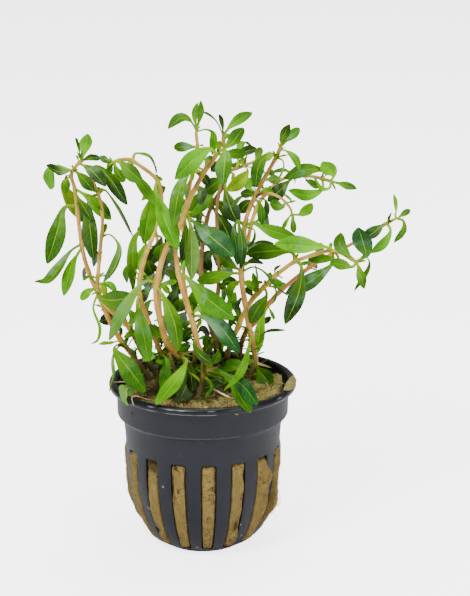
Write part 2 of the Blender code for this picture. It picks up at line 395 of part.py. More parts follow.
        [(-8.5, 52.4, 16), (-10, 58, 17.5), (-11.8, 66, 19.5), (-12.6, 74, 22.5),
         (-12.2, 82, 26), (-12.6, 90, 28.5), (-13.6, 97, 30), (-13.4, 103, 31.5)],
        [(3.2, 10, 3, (-13.4, 102.6), (-13, 106), (-10.4, 107.8)),
         (3.2, 20, 7, (-13.4, 102.6), (-15, 105.6), (-17.2, 104)),
         (1.8, 40, -1, (-13.4, 103), (-14, 106.6)),
         (3.6, 20, 4, (-13.6, 98), (-10.2, 99.6), (-7, 96)),
         (4.0, 10, 10, (-13.5, 97), (-15.8, 97.4), (-17.4, 93)),
         (4.4, 0, 13, (-12.6, 90), (-10.4, 90.6), (-8, 85)),
         (4.2, 10, 3, (-12.6, 89), (-15.4, 90), (-18.4, 84.4)),
         (4.6, 0, 4, (-12.2, 81.6), (-9.4, 82.6), (-6.2, 76)),
         (4.4, 10, 15, (-12.2, 81), (-14.2, 81.6), (-16, 77.4)),
         (4.4, 10, 13, (-12.6, 73.6), (-10.6, 74), (-8.6, 69.4)),
         (4.2, 10, 5, (-12.5, 73), (-15.4, 73.6), (-18.8, 68)),
         (4.0, 10, 12, (-11.6, 65.4), (-9.4, 66), (-7.4, 62)),
         (3.6, 20, 6, (-11.2, 64), (-14.2, 64.8), (-17.6, 61))],
    ),
    "shoot_back_centre": shoot(
        (0.5, 1.0),
        [(-2.5, 53.4, 19), (-2.2, 57.4, 19.5), (-1.9, 62, 20.5), (-2.8, 67, 21), (-4, 72, 22),
         (-5, 77, 23.5), (-5.4, 82, 24), (-5, 88, 24), (-5.4, 94, 25), (-5.8, 98.6, 26.5)],
        [(3.0, 10, 3, (-5.8, 98.2), (-5.6, 101.8), (-3.8, 103.8)),
         (3.2, 10, 8, (-5.8, 98.2), (-4, 100.4), (-1.4, 99.2)),
         (3.0, 30, 5, (-5.8, 98.2), (-7.6, 100.2), (-9.6, 98.4)),
         (4.0, 0, 11, (-5.4, 93.2), (-3, 94.2), (-0.8, 90)),
         (3.8, 20, 6, (-5.3, 92.8), (-7.8, 94), (-9.6, 90)),
         (4.4, 0, 4, (-5.1, 85.6), (-2.2, 86.6), (0.8, 81.6)),
         (4.2, 0, 14, (-5.2, 85), (-7.4, 85.8), (-9.6, 81)),
         (4.4, 0, 13, (-5, 77.4), (-2.8, 78.2), (0, 74)),
         (4.2, 0, 5, (-4.9, 76.6), (-7.6, 77.4), (-9.8, 71)),
         (4.2, 10, 6, (-3.6, 70), (-0.6, 71.6), (3, 68)),
         (4.0, 10, 13, (-3.4, 69.4), (-5.4, 70), (-7, 65.6)),
         (3.6, 20, 9, (-2, 61.4), (0.4, 62.4), (2.8, 58.6))],
    ),
}


def clear_scene():
    for thing in list(bpy.data.objects):
        bpy.data.objects.remove(thing, do_unlink=True)


def plain_material(name, colour, roughness):
    material = bpy.data.materials.new(name)
    material.use_nodes = True
    shader = material.node_tree.nodes["Principled BSDF"]
    shader.inputs["Base Color"].default_value = (*colour, 1.0)
    shader.inputs["Roughness"].default_value = roughness
    shader.inputs["Metallic"].default_value = 0.0
    return material


def add_object(name, bm, material=None, smooth_angle=40.0):
    """The bmesh, in mm, as an object in metres."""
    bmesh.ops.recalc_face_normals(bm, faces=bm.faces)
    bmesh.ops.scale(bm, vec=(MM, MM, MM), verts=bm.verts)
    mesh = bpy.data.meshes.new(name)
    bm.to_mesh(mesh)
    bm.free()
    if material:
        mesh.materials.append(material)
    mesh.shade_smooth()
    mesh.set_sharp_from_angle(angle=math.radians(smooth_angle))
    thing = bpy.data.objects.new(name, mesh)
    bpy.context.scene.collection.objects.link(thing)
    return thing


def bowl_radius(height):
    """The outer wall's radius below the top of the slots."""
    share = 1.0 - min(height, BOWL_HEIGHT) / BOWL_HEIGHT
    swell = (1.0 - share**BOWL_POWER) ** (1.0 / BOWL_POWER)
    return BASE_RADIUS + (WALL_RADIUS - BASE_RADIUS) * swell


def bowl_point(height, inward=0.0):
    """Radius and height of a point that far inside the bowl's outer face, square to it."""
    lean = (bowl_radius(height + 0.05) - bowl_radius(height - 0.05)) / 0.1
    size = math.hypot(1.0, lean)
    return bowl_radius(height) - inward / size, height + inward * lean / size


def slot_heights(inset=0.0):
    """Heights of the slots' rows, closer together low on the curve."""
    low, high = SLOT_BOTTOM + inset, SLOT_TOP - inset
    return [low + (high - low) * (step / SLOT_ROWS) ** 1.6 for step in range(SLOT_ROWS + 1)]


def slot_turns(inset=0.0):
    """The sides of every slot as angles, each slot drawn in by an inset angle."""
    pitch = 2 * math.pi / SLOT_COUNT
    half = pitch * SLOT_SHARE / 2 - inset
    middles = [FIRST_SLOT_TURN + index * pitch for index in range(SLOT_COUNT)]
    return [middle + side for middle in middles for side in (-half, half)]


def ring(bm, radius, height, turns):
    return [bm.verts.new((radius * math.cos(a), radius * math.sin(a), height)) for a in turns]


def join_rings(bm, lower, upper, skip=()):
    """Quads between two rings, but for the columns to skip."""
    faces = {}
    for column in range(len(lower)):
        if column not in skip:
            after = (column + 1) % len(lower)
            faces[column] = bm.faces.new(
                (lower[column], lower[after], upper[after], upper[column])
            )
    return faces


def build_pot(material):
    """Outer and inner wall as turned rings, with the slots left out and their edges bridged."""
    turns = slot_turns()
    slots = range(0, 2 * SLOT_COUNT, 2)
    rows = slot_heights()
    outer = [(BASE_RADIUS, 0.0), *(bowl_point(z) for z in rows)]
    outer += [
        (SHOULDER_RADIUS, SHOULDER_HEIGHT - SHOULDER_SLOPE),
        (NECK_RADIUS - 0.3, SHOULDER_HEIGHT),
        (NECK_RADIUS, POT_HEIGHT - LIP_HEIGHT),
        (RIM_RADIUS - 0.3, POT_HEIGHT - LIP_HEIGHT + 0.2),
        (RIM_RADIUS, POT_HEIGHT - 1.2),
        (RIM_RADIUS - 0.8, POT_HEIGHT),
    ]
    inner = [(BASE_RADIUS - 0.5, BASE_THICKNESS), *(bowl_point(z, WALL_THICKNESS) for z in rows)]
    inner += [
        (SHOULDER_RADIUS - WALL_THICKNESS, SHOULDER_HEIGHT - 0.8),
        (NECK_RADIUS - 0.3 - WALL_THICKNESS, SHOULDER_HEIGHT + 0.7),
        (NECK_RADIUS - WALL_THICKNESS, POT_HEIGHT - LIP_HEIGHT - 0.3),
        (RIM_INNER_RADIUS, POT_HEIGHT - 0.7),
        (RIM_INNER_RADIUS + 0.7, POT_HEIGHT),
    ]
    bm = bmesh.new()
    outside = [ring(bm, radius, height, turns) for radius, height in outer]
    inside = [ring(bm, radius, height, turns) for radius, height in inner]
    slot_rows = range(1, 1 + SLOT_ROWS)
    for rings in (outside, inside):
        bm.faces.new(rings[0])
        for row, (lower, upper) in enumerate(zip(rings, rings[1:])):
            join_rings(bm, lower, upper, slots if row in slot_rows else ())
    join_rings(bm, outside[-1], inside[-1])
    for column in slots:
        edge = [(row, column) for row in range(1, SLOT_ROWS + 2)]
        edge += [(row, column + 1) for row in range(SLOT_ROWS + 1, 0, -1)]
        for (row, side), (next_row, next_side) in zip(edge, edge[1:] + edge[:1]):
            bm.faces.new((outside[row][side], outside[next_row][next_side],
                          inside[next_row][next_side], inside[row][side]))
    return add_object("net_pot", bm, material)


def wool_height(x, y):
    """The rockwool's top: sunk a little at the wall, mounded to the rim at the right."""
    right = max(0.0, x / WALL_RADIUS)
    edge = math.hypot(x, y) / WALL_RADIUS
    return WOOL_TOP + WOOL_MOUND * right**2 - WOOL_EDGE_DROP * edge**4


def build_wool(material):
    """A plug a gap clear of the wall, with pads extruded into the slots up to the wall's face."""
    turns = slot_turns(GAP / BASE_RADIUS)
    rows = slot_heights(GAP)
    inward = WALL_THICKNESS + GAP
    profile = [(BASE_RADIUS - 0.5 - GAP, BASE_THICKNESS + GAP)]
    profile += [bowl_point(z, inward) for z in rows]
    profile += [
        (SHOULDER_RADIUS - inward - 0.1, SHOULDER_HEIGHT - 0.6),
        (NECK_RADIUS - inward - 0.4, SHOULDER_HEIGHT + 1.3),
    ]
    bm = bmesh.new()
    rings = [ring(bm, radius, height, turns) for radius, height in profile]
    for share in (1.0, 0.72, 0.36):
        radius = share * (NECK_RADIUS - inward - 0.3)
        crown = ring(bm, radius, 0.0, turns)
        for vert in crown:
            vert.co.z = wool_height(vert.co.x, vert.co.y)
        rings.append(crown)
    bm.faces.new(rings[0])
    top = bm.faces.new(rings[-1])
    walls = [join_rings(bm, lower, upper) for lower, upper in zip(rings, rings[1:])]
    bmesh.ops.poke(bm, faces=[top])
    for column in range(0, 2 * SLOT_COUNT, 2):
        patch = [walls[row][column] for row in range(1, 1 + SLOT_ROWS)]
        grown = bmesh.ops.extrude_face_region(bm, geom=patch)["geom"]
        bmesh.ops.delete(bm, geom=patch, context="FACES_ONLY")
        for vert in (item for item in grown if isinstance(item, bmesh.types.BMVert)):
            push_to_face(vert, inward)
    return add_object("rockwool", bm, material)


def push_to_face(vert, inward):
    """Moves a pad's corner out from inside the wall to the bowl's outer face, and a little past."""
    radius = math.hypot(vert.co.x, vert.co.y)
    rows = slot_heights(GAP)
    height = min(rows, key=lambda z: math.dist(bowl_point(z, inward), (radius, vert.co.z)))
    middle = math.sin(math.pi * (height - rows[0]) / (rows[-1] - rows[0]))
    out_radius, out_height = bowl_point(height, -WOOL_BULGE * middle)
    vert.co.x *= out_radius / radius
    vert.co.y *= out_radius / radius
    vert.co.z = out_height


def placed(across, up, behind):
    """A point read on the upright plane, moved behind it along its line of sight."""
    on_plane = np.array([across, 0.0, up])
    return EYE + (on_plane - EYE) * (1.0 - behind / EYE[1])


def smooth_path(points, samples):
    """A Catmull-Rom curve through the points, with as many samples in each stretch."""
    points = [np.asarray(p, float) for p in points]
    padded = [2 * points[0] - points[1], *points, 2 * points[-1] - points[-2]]
    stretches = len(points) - 1
    curve = []
    for step in range(samples):
        place = stretches * step / (samples - 1)
        index = min(int(place), stretches - 1)
        t = place - index
        a, b, c, d = padded[index : index + 4]
        bend = (2 * a - 5 * b + 4 * c - d) * t**2 + (3 * b - a - 3 * c + d) * t**3
        curve.append(0.5 * (2 * b + (c - a) * t + bend))
    return curve


def arc_lengths(curve):
    steps = [np.linalg.norm(b - a) for a, b in zip(curve, curve[1:])]
    return np.concatenate([[0.0], np.cumsum(steps)])


def unit(vector):
    return vector / np.linalg.norm(vector)


def along(curve, lengths, distance):
    """The point that far along the curve, and the direction there."""
    distance = min(max(distance, 0.0), lengths[-1])
    index = min(int(np.searchsorted(lengths, distance, side="right")) - 1, len(curve) - 2)
    step = curve[index + 1] - curve[index]
    share = (distance - lengths[index]) / (lengths[index + 1] - lengths[index])
    return curve[index] + step * share, unit(step)


class Stem:
    """A shoot's middle line and thickness, with the places where leaves stand on it."""

    def __init__(self, plan, rooted=True):
        route = [placed(*point) for point in plan["route"]]
        if rooted:
            down = unit(route[0] - route[1]) * 0.4 + np.array([0.0, 0.0, -1.0])
            route.insert(0, route[0] + unit(down) * ROOT_DEPTH)
        self.plan = plan
        self.curve = smooth_path(route, 12 * len(route))
        self.lengths = arc_lengths(self.curve)
        self.total = self.lengths[-1]
        marks = [leaf[3] for leaf in plan["leaves"]]
        marks += [side["route"][0][:2] for side in plan["sides"]]
        self.feet = [self.foot_length(mark) for mark in marks]
        self.side_stems = [Stem(side, rooted=False) for side in plan["sides"]]
        self.bands = []
        self.stations = self.set_stations()

    def radius(self, distance):
        tip, foot = self.plan["radii"]
        return foot + (tip - foot) * distance / self.total

    def height(self, distance):
        return along(self.curve, self.lengths, distance)[0][2]

    def foot_length(self, mark):
        """How far along the stem the point lies that is seen nearest to the mark."""
        best = None
        for point, length in zip(self.curve, self.lengths):
            seen = EYE + (point - EYE) * EYE[1] / (EYE[1] - point[1])
            gap = math.hypot(seen[0] - mark[0], seen[2] - mark[1])
            if best is None or gap < best[0]:
                best = (gap, length)
        return best[1]

    def set_stations(self):
        """Where the rings stand: a short band at each node, and plain rings between."""
        bands = self.bands
        for foot in sorted(self.feet):
            middle = min(max(foot, NODE_BAND), self.total - NODE_BAND)
            if not bands or middle - bands[-1] > BAND_SPACING * NODE_BAND:
                bands.append(middle)
        stations = [0.0]
        for middle in bands:
            start = middle - NODE_BAND / 2
            while start - stations[-1] > 1.5 * RING_SPACING:
                stations.append(stations[-1] + RING_SPACING)
            stations += [start, start + NODE_BAND]
        while self.total - stations[-1] > 1.5 * RING_SPACING:
            stations.append(stations[-1] + RING_SPACING)
        return [*stations, self.total]

    def rings(self, count, extra=0.0):
        """Each ring's corners, carried along the stem without twist."""
        normal = np.array([0.0, -1.0, 0.0])
        outlines = []
        for station in self.stations:
            point, tangent = along(self.curve, self.lengths, station)
            normal = unit(normal - tangent * (normal @ tangent))
            across = np.cross(tangent, normal)
            radius = self.radius(station) + extra
            turns = [2 * math.pi * step / count for step in range(count)]
            outlines.append([
                point + (normal * math.cos(turn) + across * math.sin(turn)) * radius
                for turn in turns
            ])
        return outlines


def leaf_path(leaf, foot, reach):
    """The leaf's middle line in space, from its foot in the stem to its tip."""
    marks = [np.array(mark, float) for mark in leaf[3:]]
    lengths = arc_lengths(marks)
    points = [foot]
    for mark, length in zip(marks[1:], lengths[1:]):
        points.append(placed(*mark, foot[1] + reach * length / lengths[-1]))
    return smooth_path(points, PATH_SAMPLES)


def leaf_normals(curve, lengths, roll):
    """The directions along the leaf and of its upper face, set at the blade, carried both ways."""
    last = len(curve) - 1
    tangents = [unit(curve[min(i + 1, last)] - curve[max(i - 1, 0)]) for i in range(last + 1)]
    middle = int(np.searchsorted(lengths, 0.6 * lengths[-1]))
    tangent = tangents[middle]
    toward = EYE - curve[middle]
    toward = unit(toward - tangent * (toward @ tangent))
    upward = np.cross(tangent, toward)
    if upward[2] < 0:
        upward = -upward
    angle = math.radians(roll)
    normals = [toward * math.cos(angle) + upward * math.sin(angle)] * (last + 1)
    for order, step in ((range(middle + 1, last + 1), -1), (range(middle - 1, -1, -1), 1)):
        for index in order:
            normal = normals[index + step]
            normals[index] = unit(normal - tangents[index] * (normal @ tangents[index]))
    return tangents, normals


def leaf_sections(leaf, foot, start, reach, extra=0.0):
    """Each section as four corners: an edge, the upper midrib, the other edge, the lower midrib."""
    width, roll = leaf[:2]
    curve = leaf_path(leaf, foot, reach)
    lengths = arc_lengths(curve)
    tangents, normals = leaf_normals(curve, lengths, roll)
    outline = LONG_SECTIONS if lengths[-1] > LONG_LEAF else SHORT_SECTIONS
    if width < SMALL_LEAF_WIDTH:
        outline = SMALL_SECTIONS
    sections = []
    for share, part in outline:
        distance = start + share * (lengths[-1] - start)
        index = int(round(np.interp(distance, lengths, range(len(curve)))))
        half = max(width * part, min(PETIOLE_WIDTH, width)) / 2 + extra
        side = np.cross(normals[index], tangents[index])
        lift = normals[index] * (LEAF_FOLD * 2 * half)
        rise = normals[index] * (LEAF_THICKNESS / 2 + extra)
        middle = curve[index]
        sections.append(
            [middle + side * half + lift, middle + rise, middle - side * half + lift, middle - rise]
        )
    return sections, curve[-1]


class Obstacle:
    """A closed surface as a tree that finds overlaps, with its box and the shoot it belongs to."""

    def __init__(self, owner, points, faces):
        self.owner = owner
        self.low = np.min(points, axis=0)
        self.high = np.max(points, axis=0)
        self.tree = BVHTree.FromPolygons([Vector(point) for point in points], faces)

    def hits(self, other):
        apart = (self.low > other.high).any() or (other.low > self.high).any()
        return 0 if apart else len(self.tree.overlap(other.tree))


def object_obstacle(thing):
    """A finished object as an obstacle, in mm."""
    points = [vert.co / MM for vert in thing.data.vertices]
    return Obstacle(thing.name, points, [tuple(face.vertices) for face in thing.data.polygons])


def tube_obstacle(owner, rings, tip=None):
    """A stretch of rings, closed to a tip if it has one."""
    count = len(rings[0])
    points = [corner for outline in rings for corner in outline]
    faces = []
    for start in range(0, count * (len(rings) - 1), count):
        for corner in range(count):
            a, b = start + corner, start + (corner + 1) % count
            faces += [(a, b, b + count), (a, b + count, a + count)]
    if tip is not None:
        last = count * (len(rings) - 1)
        faces += [(last + c, last + (c + 1) % count, len(points)) for c in range(count)]
        points.append(tip)
    return Obstacle(owner, points, faces)


def petiole_ring(foot, section):
    """A small section just outside the stem, from which a leaf's foot is tested."""
    middle = np.mean(section, axis=0)
    return [foot + (corner - middle) * 0.5 for corner in section]


def swayed(leaf, number):
    """A leaf turned and carried out of the picture's plane, every other one the other way."""
    width, roll, reach, *marks = leaf
    way = 1 if number % 2 else -1
    seen = arc_lengths([np.array(mark, float) for mark in marks])[-1]
    reach += seen * SWAY_REACH * (way if abs(reach) < 1.5 else math.copysign(1, reach))
    if width > PETIOLE_WIDTH and (roll < 40 or roll > 140):
        width *= 1 / math.cos(math.radians(SWAY_TURN))
        roll += way * SWAY_TURN
    return (width, roll, reach, *marks)


def settled_leaf(owner, leaf, foot, start, obstacles):
    """The leaf's sections, with its tip moved nearer or farther until it is clear of the rest."""
    shifts = [0.0]
    for step in range(1, REACH_TRIES):
        shifts += [step * REACH_STEP, -step * REACH_STEP]
    least = None
    for shift in shifts:
        reach = leaf[2] + shift
        wide, tip = leaf_sections(leaf, foot, start, reach, CLEARANCE)
        blade = tube_obstacle(owner, wide, tip)
        whole = tube_obstacle(owner, [petiole_ring(foot, wide[0]), *wide], tip)
        hits = sum((blade if other.owner == owner else whole).hits(other) for other in obstacles)
        if least is None or hits < least[0]:
            least = (hits, reach)
        if hits == 0:
            break
    sections, tip = leaf_sections(leaf, foot, start, least[1])
    return sections, tip, least[0]


def grow(bm, face, outline):
    """Extrudes a face and moves its corners to the outline. Returns the new face."""
    face = bmesh.ops.extrude_discrete_faces(bm, faces=[face])["faces"][0]
    for loop, point in zip(face.loops, outline):
        loop.vert.co = Vector(point)
    return face


def turned_to(face, outlines):
    """The outlines, each started at the corner that best continues the face's first corner."""
    corners = [np.array(loop.vert.co) for loop in face.loops]
    shift = np.mean(outlines[0], axis=0) - np.mean(corners, axis=0)
    count = len(corners)

    def twist(turn):
        moved = [outlines[0][(turn + k) % count] - shift for k in range(count)]
        return sum(np.linalg.norm(a - b) for a, b in zip(moved, corners))

    turn = min(range(count), key=twist)
    return [outline[turn:] + outline[:turn] for outline in outlines]


def grow_through(bm, face, outlines):
    """Grows a stem from a face. Returns its side faces, each with its ring's number."""
    sides = []
    for number, outline in enumerate(outlines):
        face = grow(bm, face, outline)
        for edge in face.edges:
            sides += [(number, other) for other in edge.link_faces if other != face]
    for _, side in sides:
        side.normal_update()
    return sides


def starting_face(stem, sides, length, toward):
    """The free side face that looks most that way, at the nearest node that has one."""
    for middle in sorted(stem.bands, key=lambda band: abs(band - length)):
        number = stem.stations.index(middle - NODE_BAND / 2)
        choices = [item for item in sides if item[0] == number]
        if choices:
            best = max(choices, key=lambda item: float(np.dot(toward, item[1].normal)))
            sides.remove(best)
            return best[1]
    raise ValueError("a shoot has more leaves than its nodes have faces")


def grow_leaves(bm, owner, stem, sides, obstacles):
    """Every leaf of a stem, each from a face of its node. Returns those that still touch."""
    touching = []
    for number, (leaf, length) in enumerate(zip(stem.plan["leaves"], stem.feet)):
        leaf = swayed(leaf, number)
        foot, _ = along(stem.curve, stem.lengths, length)
        start = stem.radius(length) + PETIOLE_START
        sections, tip, hits = settled_leaf(owner, leaf, foot, start, obstacles)
        if hits:
            touching.append((owner, leaf[3:], hits))
        obstacles.append(tube_obstacle(owner, [petiole_ring(foot, sections[0]), *sections], tip))
        toward = unit(np.mean(sections[0], axis=0) - foot)
        face = starting_face(stem, sides, length, toward)
        for section in turned_to(face, sections):
            face = grow(bm, face, section)
        crown = bmesh.ops.poke(bm, faces=[face])["verts"][0]
        crown.co = Vector(tip)
    return touching


def grow_shoot(bm, owner, stem, obstacles):
    """A shoot as one grown body: its stem, then its side shoots, then the leaves of each."""
    outlines = stem.rings(STEM_SIDES)
    face = bm.faces.new([bm.verts.new(Vector(corner)) for corner in outlines[0]])
    sides = grow_through(bm, face, outlines[1:])
    branches = [(stem, sides)]
    for side, length in zip(stem.side_stems, stem.feet[len(stem.plan["leaves"]):]):
        outlines = side.rings(SIDE_SHOOT_SIDES)[1:]
        foot, _ = along(stem.curve, stem.lengths, length)
        face = starting_face(stem, sides, length, unit(np.mean(outlines[0], axis=0) - foot))
        branches.append((side, grow_through(bm, face, turned_to(face, outlines))))
    touching = []
    for branch, free_sides in branches:
        touching += grow_leaves(bm, owner, branch, free_sides, obstacles)
    bmesh.ops.holes_fill(bm, edges=[edge for edge in bm.edges if edge.is_boundary])
    return touching


def add_socket(wool, name, stem):
    """Cuts the stem's socket in the rockwool, a gap wider than the stem and a gap deeper."""
    count = 2
    while stem.height(stem.stations[count - 1]) < WOOL_TOP + WOOL_MOUND + 1.0:
        count += 1
    outlines = stem.rings(STEM_SIDES, SOCKET_GAP)[:count]
    bm = bmesh.new()
    face = bm.faces.new([bm.verts.new(Vector(corner)) for corner in outlines[0]])
    for vert in face.verts:
        vert.co.z -= SOCKET_GAP
    grow_through(bm, face, outlines[1:])
    bmesh.ops.holes_fill(bm, edges=[edge for edge in bm.edges if edge.is_boundary])
    cutter = add_object(f"{name}_socket", bm)
    cutter.hide_render = True
    cutter.display_type = "WIRE"
    cut = wool.modifiers.new(f"{name}_socket", "BOOLEAN")
    cut.operation = "DIFFERENCE"
    cut.object = cutter


def build():
    """The pot and its rockwool, then every stem, then every leaf clear of all that stands."""
    clear_scene()
    pot = build_pot(plain_material("pot_plastic", (0.042, 0.044, 0.062), 0.45))
    wool = build_wool(plain_material("rockwool", (0.46, 0.33, 0.13), 0.95))
    green = plain_material("shoot", (0.08, 0.26, 0.03), 0.45)
    obstacles = [object_obstacle(pot), object_obstacle(wool)]
    stems = {}
    for name, plan in SHOOTS.items():
        stem = Stem(plan)
        for part in (stem, *stem.side_stems):
            obstacles.append(tube_obstacle(name, part.rings(STEM_SIDES)))
        add_socket(wool, name, stem)
        stems[name] = stem
    touching = []
    for name, stem in stems.items():
        bm = bmesh.new()
        touching += grow_shoot(bm, name, stem, obstacles)
        add_object(name, bm, green)
    for owner, marks, hits in touching:
        print(f"{owner}: the leaf at {marks} still touches something in {hits} places")


build()
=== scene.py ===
"""Looks of a potted water primrose: veined leaves on jointed stems, a net pot and its rockwool."""

import math
import random

import bmesh
import bpy
import numpy as np
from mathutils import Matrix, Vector, noise
from mathutils.bvhtree import BVHTree
from mathutils.kdtree import KDTree


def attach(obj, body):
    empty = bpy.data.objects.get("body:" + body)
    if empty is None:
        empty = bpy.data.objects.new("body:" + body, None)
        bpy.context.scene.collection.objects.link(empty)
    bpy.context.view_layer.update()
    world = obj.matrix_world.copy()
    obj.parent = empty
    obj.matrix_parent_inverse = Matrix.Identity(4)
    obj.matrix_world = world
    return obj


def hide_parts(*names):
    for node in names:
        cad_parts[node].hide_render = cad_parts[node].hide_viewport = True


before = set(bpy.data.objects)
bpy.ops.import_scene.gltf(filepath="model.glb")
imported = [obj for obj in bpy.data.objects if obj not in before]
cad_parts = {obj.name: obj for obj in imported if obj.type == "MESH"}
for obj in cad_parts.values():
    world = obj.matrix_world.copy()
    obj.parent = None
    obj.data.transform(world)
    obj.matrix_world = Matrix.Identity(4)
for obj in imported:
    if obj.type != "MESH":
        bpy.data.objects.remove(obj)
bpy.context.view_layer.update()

MM = 0.001

# Net pot, mm, as in the part
NECK_RADIUS = 25.4
SHOULDER_RADIUS = 23.4
SHOULDER_HEIGHT = 40.0
WALL_RADIUS = 22.8
WALL_THICKNESS = 0.9
BOWL_HEIGHT = 27.0
BASE_RADIUS = 11.7
BASE_THICKNESS = 1.2
BASE_INSET = 0.5
BOWL_POWER = 1.8
SLOT_COUNT = 16
SLOT_PITCH = 2 * math.pi / SLOT_COUNT
FIRST_SLOT_TURN = math.radians(-85.0)
SLOT_TOP = 31.0
SLOT_BOTTOM = 2.4
WOOL_TOP = 47.0
WOOL_MOUND = 1.8
WOOL_EDGE_DROP = 0.5
ROOT_DEPTH = 6.0
ROOT_LEAN = 0.4

# Where the plant is seen from, mm, as in the part: a place is read on the upright plane
# through the pot's axis, as (across, up), and lies that many mm behind the plane
EYE = np.array([9.5, -619.2, 262.3])
AIM = Vector((9.5, 0.0, 74.6))
SENSOR_HEIGHT = 36.0
FOCAL_LENGTH = 134.6

# How the solids' leaves sway and settle
SWAY_TURN = 20.0
SWAY_REACH = 0.3
REACH_STEP = 0.75
REACH_TRIES = 22
PATH_SAMPLES = 28
PETIOLE_WIDTH = 0.8

# Leaf colours, as the light falls on them
DEEP = (0.009, 0.034, 0.003)
DARK = (0.015, 0.056, 0.003)
SHADED = (0.022, 0.085, 0.003)
MID = (0.034, 0.125, 0.003)
FRESH = (0.052, 0.185, 0.003)
BRIGHT = (0.072, 0.270, 0.002)
LIME = (0.120, 0.380, 0.001)
YOUNG = (0.180, 0.310, 0.003)
BLUISH = (0.011, 0.075, 0.011)
GREYISH = (0.060, 0.120, 0.045)
PALE = (0.075, 0.180, 0.022)
STRAW = (0.520, 0.380, 0.180)

# Stem colours at the foot, along the middle and at the tip; the dark foot colour is painted shade,
# where the stems stand in the shade of the leaves above the rockwool
TAN_STEM = ((0.085, 0.072, 0.026), (0.60, 0.400, 0.072), (0.40, 0.275, 0.040))
PINK_STEM = ((0.085, 0.068, 0.026), (0.66, 0.360, 0.078), (0.50, 0.290, 0.050))
DULL_STEM = ((0.070, 0.062, 0.022), (0.62, 0.360, 0.075), (0.27, 0.150, 0.024))
BROWN_STEM = ((0.060, 0.036, 0.016), (0.26, 0.140, 0.045), (0.30, 0.190, 0.045))
RED_STEM = ((0.130, 0.062, 0.028), (0.58, 0.230, 0.078), (0.44, 0.240, 0.060))

# A blade's outline, foot to tip: the width at even steps along the leaf, as shares of its widest
BLADE_OUTLINES = {
    "broad": (0.12, 0.12, 0.14, 0.2, 0.34, 0.52, 0.69, 0.83, 0.94, 1.0, 1.0, 0.93, 0.8, 0.58, 0.16),
    "oval": (0.14, 0.15, 0.2, 0.34, 0.52, 0.7, 0.84, 0.94, 1.0, 0.99, 0.92, 0.8, 0.62, 0.4, 0.1),
    "lance": (0.16, 0.16, 0.19, 0.28, 0.42, 0.58, 0.74, 0.88, 0.97, 1.0, 0.96, 0.86, 0.7, 0.47,
              0.12),
    "slender": (0.3, 0.3, 0.34, 0.44, 0.58, 0.74, 0.88, 0.97, 1.0, 0.95, 0.86, 0.72, 0.54, 0.33,
                0.08),
    "stalked": (0.1, 0.1, 0.1, 0.11, 0.13, 0.17, 0.27, 0.48, 0.7, 0.87, 0.98, 1.0, 0.9, 0.66, 0.2),
    "spoon": (0.26, 0.26, 0.34, 0.5, 0.7, 0.87, 0.98, 1.0, 0.93, 0.74, 0.28),
    "bud": (0.4, 0.5, 0.7, 0.9, 1.0, 0.92, 0.66, 0.2),
}
BLADE_COLUMNS = 8
NARROWEST = 0.02
# Columns moved towards the midrib, from and to, so that the midrib is fine
COLUMN_MOVES = ((0.125, 0.05), (0.25, 0.2), (0.375, 0.37))
MARGIN_THINNING = 0.35
MIDRIB_FURROW = 0.12
MIDRIB_KEEL = 0.16
VEIN_PAIRS = 11.0
VEIN_SLANT = 4.2
LEAF_TWIST = 14.0
LEAF_FOLD = (0.12, 0.34)
LEAF_WAVE = 0.05
BLADE_THICKNESS = 0.26
PETIOLE_THICKNESS = 0.62
BROAD_FROM = 0.3
SLENDER_BELOW = 0.13
SMALL_LEAF_LENGTH = 7.0

# Tips of the leaves with a long bare stalk, and of those that lie nearer the eye than the solid's
STALKED_TIPS = {(-43.4, 107.2), (16.1, 41.8), (14.1, 39.3)}
NEARER_TIPS = {(6.3, 46.2), (16.1, 41.8), (14.1, 39.3)}

STALK_WIDTH = 0.85
BUD_SHARE = 0.55
BUD_LENGTH = (1.6, 3.6)
SPRIG_LENGTH = (3.0, 6.8)
SPRIG_REACH = 13.0

STEM_STEP = 0.8
STEM_SLIMNESS = 0.87
STEM_WOBBLE = 0.025
TIP_THICKNESS = 0.45
TIP_LENGTH = 2.5
NODE_SWELL = 0.17
NODE_LENGTH = 0.9
STEM_STOPS = (0.0, 0.12, 0.3, 0.6, 1.0)


def shoot(tints, radii, route, leaves, sides=()):
    """One shoot: its stem's tints and tip and foot radius, its route, leaves and side shoots."""
    return {"tints": tints, "radii": radii, "route": route, "leaves": leaves, "sides": sides}


